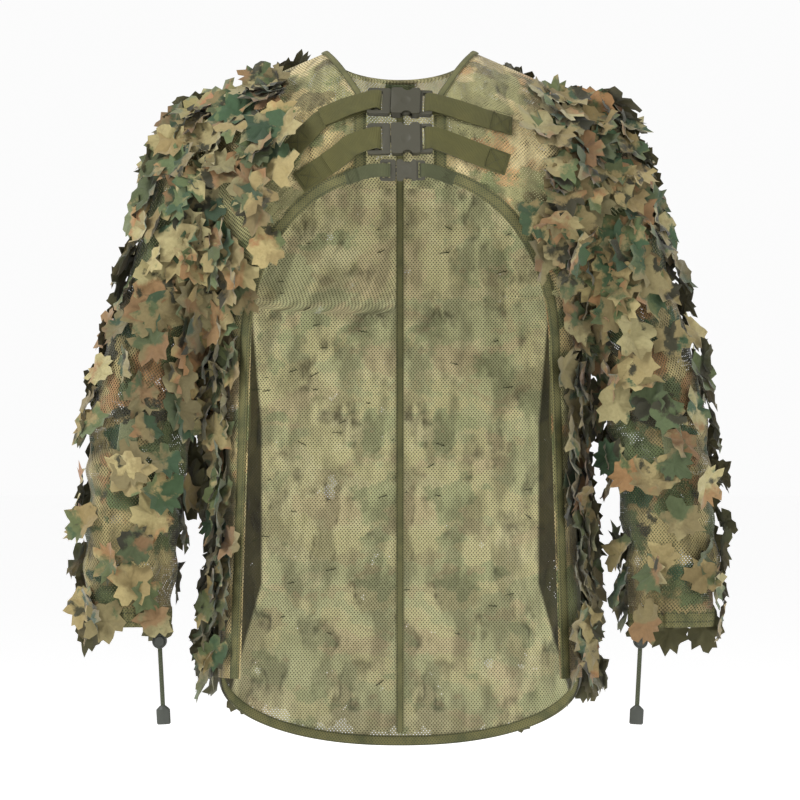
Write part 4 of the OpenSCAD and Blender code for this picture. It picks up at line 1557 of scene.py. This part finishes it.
    def _yoke_seam(self) -> None:
        """Cover the seam between the back yoke and the lower back."""
        places = []
        for i in range(81):
            share = math.sin((i / 80 - 0.5) * math.pi)
            places.append((Face.BACK, share * self.body.half(CUT.yoke_drop), CUT.yoke_drop))
        self._band("yoke_seam_tape", places, 0.004, "seam")


# ---- Leaves ----


@dataclass(frozen=True)
class Site:
    """Where one leaf is tacked: a point, the cloth's normal, the way down, and whether it's the back."""

    point: Vector
    normal: Vector
    down: Vector
    on_back: bool = False


@dataclass
class LeafShape:
    """One way of cutting a leaf: pointed lobes with a tooth on each shoulder, bent and creased."""

    lobes: int
    seed: int
    long_way: float = 1.15

    def build(self) -> bmesh.types.BMesh:
        """Make the leaf a unit across, flat in XY, then bend it.

        Returns:
            A bmesh the caller frees.
        """
        rng = random.Random(self.seed)
        profile = (0.66, 0.90, 0.80, 1.0, 0.83)
        segments = self.lobes * len(profile)
        bm = bmesh.new()
        made = bmesh.ops.create_circle(bm, cap_ends=True, cap_tris=True, segments=segments, radius=0.5)
        rim = [v for v in made["verts"] if v.co.length > 0.1]
        rim.sort(key=lambda v: math.atan2(v.co.y, v.co.x))
        for i, vert in enumerate(rim):
            radius = 0.5 * profile[i % len(profile)] * rng.uniform(0.85, 1.12)
            angle = math.atan2(vert.co.y, vert.co.x) + rng.uniform(-0.06, 0.06)
            vert.co = Vector((radius * math.cos(angle), radius * math.sin(angle) * self.long_way, 0.0))
        spokes = [e for e in bm.edges if (e.verts[0] in rim) != (e.verts[1] in rim)]
        bmesh.ops.subdivide_edges(bm, edges=spokes, cuts=1)
        fold = rng.uniform(0.05, 0.6)
        curl = rng.uniform(-0.5, 0.8)
        twist = rng.uniform(-0.6, 0.6)
        offset = Vector((self.seed * 3.7, 1.0, 0.0))
        for vert in bm.verts:
            x, y = vert.co.x, vert.co.y
            ripple = noise.noise(vert.co * 5.0 + offset) * 0.16
            vert.co.z = fold * abs(x) * 0.8 + curl * y * y + twist * x * y + ripple
        return bm


@dataclass
class Foliage:
    """Cut leaves tacked over the jacket, in one piece for each part of it."""

    torso: Torso
    finishes: Finishes
    arms: dict[Side, Arm]
    sleeves: dict[Side, Sleeve]
    back_size: float = 0.056
    front_size: float = 0.057
    clear: float = 0.003
    stand: float = 0.058
    back_top: float = 0.06
    kinds: int = 12
    seed: int = 41

    def __post_init__(self) -> None:
        """Cut the leaf shapes."""
        self.body = self.torso.body
        self.shapes = [LeafShape(5, self.seed + i).build() for i in range(self.kinds)]
        self.rng = random.Random(self.seed)

    def build(self) -> None:
        """Make every group of leaves."""
        self._group("back_leaf_cover", list(self._back_sites()), "back_leaf", ["leaves_back"])
        self._group("yoke_leaf_cover", list(self._yoke_sites()), "front_leaf", ["leaves_yokes"])
        self._group("side_leaf_cover", list(self._strip_sites()), "front_leaf", ["leaves_sides"])
        for side in Side:
            sites = list(self._sleeve_sites(side))
            middle = -0.004
            front = [s for s in sites if s.point.y <= middle]
            behind = [s for s in sites if s.point.y > middle]
            name = f"leaves_sleeve_{side.word}"
            self._group(f"sleeve_leaf_cover_front_{side.word}", front, "front_leaf", [name], side)
            self._group(f"sleeve_leaf_cover_back_{side.word}", behind, "back_leaf", [], side)
        self._group("flank_leaf_cover", list(self._flank_sites()), "back_leaf", [])
        for shape in self.shapes:
            shape.free()

    def _site(self, point: Vector, normal: Vector, on_back: bool = False) -> Site:
        """Return a site with its way down along the cloth."""
        down = Vector((0, 0, -1))
        down = (down - normal * down.dot(normal))
        down = down.normalized() if down.length > 0.05 else Vector((0, -1, 0))
        return Site(point, normal, down, on_back)

    def _on_body(self, face: Face, x: float, d: float) -> Site:
        """Return a site on the torso."""
        point = self.body.point(face, x, d)
        normal = self.body.normal(face, x, d)
        fold = max(0.0, self.torso.drape.lift(point, self.torso.fold_depth, 0.3))
        return self._site(point + normal * fold, normal, face is Face.BACK)

    def _outside(self, point: Vector) -> Vector:
        """Return a leaf's point, moved out where it would come through the back."""
        drop = -point.z
        if drop < self.back_top or abs(point.x) > self.body.half(drop) - self.clear:
            return point
        cloth = self.body.point(Face.BACK, point.x, drop)
        fold = max(0.0, self.torso.drape.lift(cloth, self.torso.fold_depth, 0.3))
        return Vector((point.x, max(point.y, cloth.y + fold + self.clear * 0.6), point.z))

    def _back_sites(self) -> Iterable[Site]:
        """Yield the sites over the lower back, in staggered rows."""
        pitch_x, pitch_d, first = 0.0200, 0.0203, 0.030
        rows = int((0.755 - first) / pitch_d) + 1
        for r in range(rows):
            d = first + r * pitch_d
            reach = self.body.half(d)
            count = int(2 * reach / pitch_x) + 3
            for i in range(count):
                share = (i + 0.5 * (r % 2)) / count * 2 - 1
                x = math.sin(share * math.pi / 2 * 0.98) * reach * 0.5 + share * reach * 0.5
                x += self.rng.uniform(-0.008, 0.008)
                drop = d + self.rng.uniform(-0.008, 0.008)
                if abs(x) > reach - 0.004 or drop > self.body.tail_edge(x / reach) - 0.026:
                    continue
                if drop < self.body.ridge(x) + 0.006 or (x / 0.105) ** 2 + (drop / 0.098) ** 2 < 1.0:
                    continue
                yield self._on_body(Face.BACK, x, drop)

    def _flank_sites(self) -> Iterable[Site]:
        """Yield the sites down the flanks under the sleeves, where the back turns forwards."""
        power = CUT.back_power
        for side in Side:
            for depth in (0.08, 0.24, 0.42):
                reach = (1.0 - depth ** power) ** (1.0 / power)
                for i in range(17):
                    d = mix(0.275, 0.700, (i + self.rng.random()) / 17)
                    place = self._on_body(Face.BACK, side.value * self.body.half(d) * reach, d)
                    yield Site(place.point, place.normal, place.down)

    def _yoke_sites(self) -> Iterable[Site]:
        """Yield the sites over the front of the shoulders."""
        for side in Side:
            for _ in range(44):
                x = self.rng.uniform(0.118, 0.208)
                d = self.body.ridge(x) + 0.004 + 0.215 * self.rng.random() ** 1.1
                inner = 0.128 + 0.12 * max(0.0, d - 0.10)
                if d > 0.262 or x < inner:
                    continue
                yield self._on_body(Face.FRONT, side.value * x, d)

    def _strip_sites(self) -> Iterable[Site]:
        """Yield the sites down the side strips."""
        for side in Side:
            for i in range(38):
                d = mix(0.285, 0.688, (i + self.rng.random()) / 38)
                inner, outer = self.body.front_edge(d) + 0.012, self.body.half(d) - 0.002
                x = mix(inner, outer, self.rng.random() ** 0.6)
                yield self._on_body(Face.FRONT, side.value * x, d)

    def _sleeve_sites(self, side: Side) -> Iterable[Site]:
        """Yield the sites over one sleeve, thinner along the front and inner forearm."""
        arm = self.arms[side]
        rows = 21
        for r in range(rows):
            k = mix(0.35, 9.85, r / (rows - 1))
            s = arm.stations[int(round(k))]
            half_width = 0.5 * math.hypot(s.outer_x - s.inner_x, s.outer_d - s.inner_d)
            around = TAU * (half_width + s.half_depth) / 2
            count = int(around / 0.030)
            for i in range(count):
                t = TAU * (i + 0.5 * (r % 2) + self.rng.uniform(-0.3, 0.3)) / count
                place = k + self.rng.uniform(-0.2, 0.2)
                turn = (math.degrees(t) + 180) % 360 - 180
                inner = abs(turn) > 125
                bare = 20 < turn < 120 and k > 4.6
                if inner and k < 4.0:
                    continue
                if inner and self.rng.random() < 0.35:
                    continue
                if bare and self.rng.random() < 0.42:
                    continue
                yield self._site(arm.point(place, t), arm.normal(place, t))

    def _group(self, name: str, sites: Sequence[Site], key: str, nodes: Sequence[str],
               side: Side | None = None) -> None:
        """Make one piece of many leaves.

        Args:
            name: The piece's name.
            sites: Where the leaves are tacked.
            key: Their finish.
            nodes: CAD nodes that the piece stands for.
            side: The sleeve that they are on, or None on the torso.
        """
        bm = bmesh.new()
        uv = bm.loops.layers.uv.new(UV_NAME)
        tint = bm.loops.layers.float_color.new(TINT_NAME)
        size = self.back_size if key == "back_leaf" else self.front_size
        for site in sites:
            self._leaf(bm, uv, tint, site, size * self.rng.uniform(0.74, 1.08))
        piece = keep(bm, name)
        self.finishes.dress(piece, key)
        if nodes:
            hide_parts(*nodes)
        if side is None:
            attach(piece, "torso")
        else:
            self.sleeves[side].bend(piece)

    def _leaf(self, bm: bmesh.types.BMesh, uv: object, tint: object, site: Site, size: float) -> None:
        """Add one leaf at a site, hanging from its stalk end and leaning out."""
        rng = self.rng
        shape = self.shapes[rng.randrange(self.kinds)]
        across = site.down.cross(site.normal).normalized()
        frame_here = Matrix((across, site.down, site.normal)).transposed()
        lean = rng.uniform(0.0, 0.62)
        yaw = rng.gauss(0.0, 1.0)
        roll = rng.gauss(0.0, 0.3)
        turn = (Matrix.Rotation(yaw, 3, "Z") @ Matrix.Rotation(lean, 3, "X") @ Matrix.Rotation(roll, 3, "Y"))
        lift = rng.uniform(0.003, 0.010)
        hang = Vector((0.0, 0.30, 0.0))
        corner = Vector((rng.uniform(0, 6), rng.uniform(0, 6)))
        shade = rng.uniform(0.55, 1.12)
        warm = rng.uniform(-0.07, 0.07)
        colour = (shade * (1 + warm), shade, shade * (1 - warm), 1.0)
        placed: dict[int, bmesh.types.BMVert] = {}
        for vert in shape.verts:
            local = turn @ ((vert.co + hang) * size)
            local.z = max(self.stand * (1.0 - math.exp(-(local.z + lift) / self.stand)), self.clear)
            point = site.point + frame_here @ local
            placed[vert.index] = bm.verts.new(self._outside(point) if site.on_back else point)
        for face in shape.faces:
            made = bm.faces.new([placed[v.index] for v in face.verts])
            for loop, source in zip(made.loops, face.verts):
                loop[uv].uv = (corner.x + source.co.x * size, corner.y + source.co.y * size)
                loop[tint] = colour


# ---- Straps and buckles ----


@dataclass(frozen=True)
class Buckle:
    """One side-release buckle: its mouth, its axes and its straps' ways on the chest, as x and drop."""

    name: str
    base: Vector
    along: Vector
    outward: Vector
    plug_length: float
    socket_length: float
    thickness: float
    webbing: float
    right_way: Way
    left_way: Way
    key: str
    tail: float

    def at(self, x: float, z: float) -> Vector:
        """Return a point of the buckle's own frame."""
        return self.base + self.along * x + self.outward * z


BUCKLES = (
    Buckle("upper", Vector((-0.010, -0.10188, -0.06408)), Vector((0.99939, -0.02089, -0.02796)).normalized(),
           Vector((0, -0.80115, 0.59847)).normalized(), 0.0262, 0.046, 0.010, 0.025,
           ((0.122, 0.116), (0.104, 0.098), (0.086, 0.081), (0.067, 0.073), (0.050, 0.068)),
           ((0.124, 0.088), (0.100, 0.082), (0.076, 0.075), (0.052, 0.068)), "webbing", 0.046),
    Buckle("middle", Vector((-0.010, -0.12312, -0.10405)), Vector((0.99985, 0.00518, 0.01667)).normalized(),
           Vector((0, -0.95498, 0.29667)).normalized(), 0.0262, 0.046, 0.010, 0.025,
           ((0.112, 0.151), (0.096, 0.1405), (0.080, 0.130), (0.065, 0.1195), (0.050, 0.109)),
           ((0.119, 0.131), (0.096, 0.123), (0.074, 0.115), (0.052, 0.107)), "webbing", 0.045),
    Buckle("lower", Vector((-0.004, -0.12656, -0.137)), Vector((1, 0, 0)), Vector((0, -1, 0)),
           0.0182, 0.032, 0.008, 0.015, ((0.060, 0.146), (0.048, 0.142), (0.034, 0.138)),
           ((0.060, 0.147), (0.050, 0.143), (0.040, 0.139)), "green_webbing", 0.020),
)


def smoothed(guide: Guide, step: float = 0.0022) -> Guide:
    """Return a smooth line through points in even steps, each with its outward direction.

    Args:
        guide: The points and their outward directions.
        step: The distance between the points returned.

    Returns:
        The points of the line, with their outward directions.
    """
    line: Guide = []
    points = [point for point, _ in guide]
    ends = [points[0] * 2 - points[1], *points, points[-1] * 2 - points[-2]]
    for i, (_, way) in enumerate(guide[:-1]):
        before, a, b, after = ends[i:i + 4]
        count = max(2, round((b - a).length / step))
        for j in range(count):
            t = j / count
            here = 0.5 * ((2 * a) + (b - before) * t + (2 * before - 5 * a + 4 * b - after) * t ** 2
                          + (3 * a - before - 3 * b + after) * t ** 3)
            line.append((here, way.lerp(guide[i + 1][1], t).normalized()))
    line.append(guide[-1])
    return line


def part_way(way: Way, distance: float) -> tuple[float, float]:
    """Return the place at a distance from a way's inner end, outwards along it."""
    for a, b in zip(way[::-1], way[-2::-1]):
        length = math.dist(a, b)
        if distance <= length:
            return mix(a[0], b[0], distance / length), mix(a[1], b[1], distance / length)
        distance -= length
    return way[0]


@dataclass
class Straps:
    """The three chest straps, with their buckles dressed in place."""

    body: Body
    finishes: Finishes
    thickness: float = 0.0015

    def build(self) -> None:
        """Make every strap and dress every buckle."""
        for buckle in BUCKLES:
            self._plug_side(buckle)
            self._socket_side(buckle)
            for part in ("socket", "plug", "prong_top", "prong_bottom"):
                self._mould(f"{buckle.name}_{part}", 0.0007 if part in ("socket", "plug") else 0.0004)

    def _mould(self, node: str, rounding: float) -> None:
        """Round a moulded node's edges and give it the buckles' finish."""
        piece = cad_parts[node]
        weld = piece.modifiers.new("Weld", "WELD")
        weld.merge_threshold = 0.00002
        round_edges(piece, rounding, 38)
        self.finishes.redress(node, "buckle")

    def _chest(self, side: Side, x: float, d: float, lift: float) -> tuple[Vector, Vector]:
        """Return a point standing lift off the chest at x and drop d, and the normal there."""
        normal = self.body.normal(Face.FRONT, side.value * x, d)
        return self.body.point(Face.FRONT, side.value * x, d) + normal * lift, normal

    def _run(self, name: str, line: Guide, width: float, key: str) -> Piece:
        """Make a strap through points, each with its outward direction."""
        run = smoothed(line)
        points, ways = [point for point, _ in run], [way for _, way in run]
        piece = Band(name, width, self.thickness, points, ways).build()
        self.finishes.dress(piece, key)
        return piece

    def _box_stitch(self, name: str, side: Side, place: tuple[float, float], toward: tuple[float, float],
                    width: float, lift: float) -> None:
        """Sew a boxed cross of thread over a strap's end.

        Args:
            name: The piece's name.
            side: Which half.
            place: The box's outer end, as x and drop.
            toward: A place along the strap from there.
            width: The strap's width.
            lift: How far it stands off the cloth.
        """
        way = Vector((toward[0] - place[0], toward[1] - place[1])).normalized()
        wide = Vector((-way.y, way.x)) * width * 0.40
        start = Vector(place) + way * 0.003
        long = way * width * 0.85
        corners = [start - wide, start + wide, start + wide + long, start - wide + long]
        order = [0, 1, 2, 3, 0, 2, 3, 1]
        line = []
        for a, b in zip(order, order[1:]):
            for i in range(6):
                q = corners[a].lerp(corners[b], i / 6)
                line.append(self._chest(side, q.x, q.y, lift)[0])
        piece = tube(name, line, 0.00030, 5)
        self.finishes.dress(piece, "strap_thread")
        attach(piece, "torso")

    def _laid(self, side: Side, way: Way, outer_lift: float, inner_lift: float) -> Guide:
        """Return a strap's guide along its way over the chest, which rises towards the buckle."""
        last = len(way) - 1
        return [self._chest(side, x, d, mix(outer_lift, inner_lift, i / last)) for i, (x, d) in enumerate(way)]

    def _plug_side(self, b: Buckle) -> None:
        """Make the adjustable strap: sewn to the chest, through the ladder frame and folded back."""
        side = Side.RIGHT
        bar = -b.plug_length * 0.605
        low = b.thickness * 0.2 - 0.0012
        high = b.thickness * 0.8 + 0.0012
        line = self._laid(side, b.right_way, 0.0010, 0.0028)
        line.append((b.at(-b.plug_length - 0.004, low), b.outward))
        line.append((b.at(bar - 0.002, low - 0.0002), b.outward))
        under = self._run(f"{b.name}_strap_under", line, b.webbing, b.key)
        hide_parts(f"{b.name}_strap_right")
        self._follow(under, b)
        loop = [(b.at(bar - 0.003, low), -b.outward), (b.at(bar + 0.003, low + 0.0004), -b.outward),
                (b.at(-b.plug_length * 0.46, (low + high) / 2), b.along),
                (b.at(bar + 0.003, high), b.outward), (b.at(bar - 0.004, high + 0.0004), b.outward)]
        for share, lift in ((0.25, 0.0080), (0.5, 0.0068), (0.75, 0.0060), (1.0, 0.0056)):
            loop.append(self._chest(side, *part_way(b.right_way, b.tail * share - 0.008), lift))
        tail = self._run(f"{b.name}_strap_tail", loop, b.webbing * 0.99, b.key)
        self._follow(tail, b)
        self._box_stitch(f"{b.name}_stitch_right", side, b.right_way[0], b.right_way[1], b.webbing, 0.0029)

    def _follow(self, piece: Piece, b: Buckle) -> None:
        """Bake a strap's transform into its mesh."""
        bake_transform(piece)

    def _socket_side(self, b: Buckle) -> None:
        """Make the fixed strap: sewn to the chest, looped round the socket's bar and sewn down again."""
        side = Side.LEFT
        slot = b.socket_length * 0.80
        low = b.thickness * 0.12 - 0.0012
        high = b.thickness * 0.72 + 0.0010
        line = self._laid(side, b.left_way, 0.0010, 0.0028)
        line.append((b.at(b.socket_length + 0.003, low), b.outward))
        line.append((b.at(slot + 0.003, low), b.outward))
        line.append((b.at(slot, (low + high) / 2), b.along))
        line.append((b.at(slot + 0.003, high), -b.outward))
        line.append((b.at(b.socket_length + 0.002, high - 0.0006), -b.outward))
        reach = sum(math.dist(a, c) for a, c in zip(b.left_way, b.left_way[1:]))
        for share, lift in ((0.12, 0.0058), (0.4, 0.0046), (0.7, 0.0034), (0.96, 0.0028)):
            point, normal = self._chest(side, *part_way(b.left_way, reach * share), lift)
            line.append((point, -normal))
        piece = self._run(f"{b.name}_strap_fixed", line, b.webbing, b.key)
        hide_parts(f"{b.name}_strap_left")
        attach(piece, "torso")
        self._box_stitch(f"{b.name}_stitch_end", side, b.left_way[0], b.left_way[1], b.webbing, 0.0047)


# ---- Drawcords and small pieces ----


@dataclass
class Drawcords:
    """The elastic drawcord that hangs from each cuff, with its lock and moulded end."""

    finishes: Finishes
    top: Vector = Vector((0.27003, -0.037, -0.641))
    lean: float = math.radians(3.0)
    length: float = 0.100
    diameter: float = 0.005
    lock_drop: float = 0.020
    spring_back: float = 0.01085
    spring_keep: float = 0.46

    def build(self) -> None:
        """Make both cords and dress their pieces."""
        for side in Side:
            self._cord(side)
            word = side.word
            for node, width in ((f"cord_lock_{word}", 0.0006), (f"lock_plunger_{word}", 0.0005),
                                (f"cord_end_{word}", 0.0005)):
                round_edges(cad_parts[node], width, 40)
                self.finishes.redress(node, "toggle")
            self.finishes.redress(f"lock_spring_{word}", "spring")
            place = self._down(side, self.lock_drop)
            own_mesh(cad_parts[f"lock_spring_{word}"])
            self.finishes.redress(f"cuff_eyelet_{word}", "eyelet")

    def _down(self, side: Side, distance: float) -> Vector:
        """Return the point of the cord at a distance below the cuff."""
        top = Vector((self.top.x * side.value, self.top.y, self.top.z))
        return top + Vector((-math.sin(self.lean) * side.value, 0.0, -math.cos(self.lean))) * distance

    def _cord(self, side: Side) -> None:
        """Make one cord as a braided tube."""
        path = [self._down(side, self.length * i / 24) for i in range(25)]
        word = side.word
        piece = tube(f"drawcord_{word}", path, self.diameter / 2, 16)
        self.finishes.dress(piece, "cord")
        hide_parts(f"cuff_cord_{word}")
        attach(piece, f"sleeve_{word}")
        tuple(path[0])


@dataclass
class Fittings:
    """Patches, foliage loops, inner tabs, press studs and the threads that tack the lining."""

    body: Body
    arms: dict[Side, Arm]
    drape: Drape
    depth: float
    finishes: Finishes
    seed: int = 7

    def build(self) -> None:
        """Make every fitting."""
        for side in Side:
            self._patch(side)
        self._loops()
        self._tabs()
        self._tacks()

    def _patch(self, side: Side) -> None:
        """Make one hook-and-loop patch, laid over the forearm."""
        arm = self.arms[side]

        def place(u: float, v: float) -> Vector:
            """Return the patch's point, curved with the forearm."""
            k = mix(7.05, 8.0, v)
            t = math.radians(mix(67.0, 89.0, u))
            return arm.point(k, t) + arm.normal(k, t) * 0.0042

        outward = arm.normal(7.5, math.radians(78))
        cloth = Cloth(f"forearm_patch_{side.word}", 14, 28, place, lambda u, v: outward)
        piece = cloth.build(thickness=0.0016)
        self.finishes.dress(piece, "pile")
        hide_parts(f"sleeve_patch_{side.word}")
        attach(piece, f"sleeve_{side.word}")

    def _loops(self) -> None:
        """Make the webbing loops on the back, each bowed between its two sewn ends."""
        places = ((-0.070, 0.662), (0.118, 0.590), (-0.128, 0.420), (0.060, 0.330), (-0.050, 0.250))
        for i, (x, d) in enumerate(places):
            centres, normals = [], []
            for j in range(25):
                share = j / 24
                here = x + 0.024 * (2 * share - 1)
                normal = self.body.normal(Face.BACK, here, d)
                fold = self.drape.lift(self.body.point(Face.BACK, here, d), self.depth, 0.3)
                bow = fold + 0.0015 + 0.0034 * math.sin(math.pi * share) ** 2
                centres.append(self.body.point(Face.BACK, here, d) + normal * bow)
                normals.append(normal)
            piece = Band(f"foliage_loop_{i + 1}", 0.010, 0.0011, centres, normals).build()
            self.finishes.dress(piece, "loop")
            if i == 0:
                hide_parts("foliage_loops")
            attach(piece, "torso")

    def _tabs(self) -> None:
        """Make the short straps inside the flanks with their press studs."""
        for side in Side:
            centres, normals = [], []
            for j in range(25):
                d = mix(0.366, 0.434, j / 24)
                normal = -self.body.normal(Face.BACK, side.value * 0.178, d)
                lift = 0.0018 + 0.0016 * math.sin(math.pi * j / 24)
                centres.append(self.body.point(Face.BACK, side.value * 0.178, d) + normal * lift)
                normals.append(normal)
            piece = Band(f"flank_tab_{side.word}", 0.016, 0.0013, centres, normals).build()
            self.finishes.dress(piece, "webbing")
            if side is Side.RIGHT:
                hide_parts("inner_tabs")
            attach(piece, "torso")
            self._stud(side, centres[3] + normals[3] * 0.0012, normals[3])

    def _stud(self, side: Side, place: Vector, normal: Vector) -> None:
        """Make a domed press stud by turning its outline."""
        outline = ((0.0, 0.0030), (0.0016, 0.0029), (0.0027, 0.0024), (0.0031, 0.0016), (0.0044, 0.0015),
                   (0.0053, 0.0010), (0.0055, 0.0004), (0.0054, 0.0))
        bm = bmesh.new()
        verts = [bm.verts.new((r, 0.0, z)) for r, z in outline]
        edges = [bm.edges.new(pair) for pair in zip(verts, verts[1:])]
        bmesh.ops.spin(bm, geom=verts + edges, cent=(0, 0, 0), axis=(0, 0, 1), angle=TAU, steps=32,
                       use_merge=True)
        bmesh.ops.remove_doubles(bm, verts=bm.verts, dist=0.00001)
        bmesh.ops.recalc_face_normals(bm, faces=bm.faces)
        bm.normal_update()
        if sum(face.normal.z for face in bm.faces) < 0:
            bmesh.ops.reverse_faces(bm, faces=bm.faces)
        turn = Vector((0, 0, 1)).rotation_difference(normal).to_matrix().to_4x4()
        bmesh.ops.transform(bm, matrix=Matrix.Translation(place) @ turn, verts=bm.verts)
        piece = keep(bm, f"press_stud_{side.word}")
        self.finishes.dress(piece, "snap")
        if side is Side.RIGHT:
            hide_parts("inner_snaps")
        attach(piece, "torso")

    def _tacks(self) -> None:
        """Make the dark stitches through which the leaves are sewn to the back, seen inside."""
        rng = random.Random(self.seed)
        bm = bmesh.new()
        for _ in range(52):
            d = rng.uniform(0.175, 0.735)
            x = rng.uniform(-1.0, 1.0) * (self.body.half(d) - 0.03)
            if d > self.body.tail_edge(x / self.body.half(d)) - 0.03:
                continue
            normal = -self.body.normal(Face.BACK, x, d)
            fold = self.drape.lift(self.body.point(Face.BACK, x, d), self.depth, 0.3)
            place = self.body.point(Face.BACK, x, d) - normal * fold + normal * 0.0012
            long = rng.uniform(0.004, 0.012)
            slant = Vector((1.0, 0.0, rng.gauss(0, 0.3))).normalized()
            slant = (slant - normal * slant.dot(normal)).normalized()
            wide = slant.cross(normal) * 0.0005
            corners = [place - wide, place + wide, place + wide * 0.7 - slant * long,
                       place - wide * 0.7 - slant * long]
            face = bm.faces.new([bm.verts.new(corner) for corner in corners])
            made = bmesh.ops.extrude_face_region(bm, geom=[face])
            raised = [v for v in made["geom"] if isinstance(v, bmesh.types.BMVert)]
            bmesh.ops.translate(bm, vec=normal * 0.0006, verts=raised)
        bmesh.ops.recalc_face_normals(bm, faces=bm.faces)
        bm.loops.layers.uv.new(UV_NAME)
        piece = keep(bm, "tacking_threads")
        self.finishes.dress(piece, "thread")
        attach(piece, "torso")


# ---- Build ----


def main() -> None:
    """Build the jacket, part by part, and its studio."""
    logging.basicConfig(level=logging.INFO, format="%(message)s")
    low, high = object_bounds()
    Studio().build(Vector(low), Vector(high))
    finishes = Finishes()
    Drawcords(finishes).build()
    body = Body()
    arms = {side: Arm(side, body) for side in Side}
    torso = Torso(body, Drape(11.0), finishes)
    torso.build()
    sleeves = {side: Sleeve(arms[side], Drape(23.0 + side.value), finishes) for side in Side}
    for sleeve in sleeves.values():
        sleeve.build()
    Trim(body, finishes).build()
    Straps(body, finishes).build()
    Fittings(body, arms, torso.drape, torso.fold_depth, finishes).build()
    Foliage(torso, finishes, arms, sleeves).build()


if __name__ == "__main__":
    main()
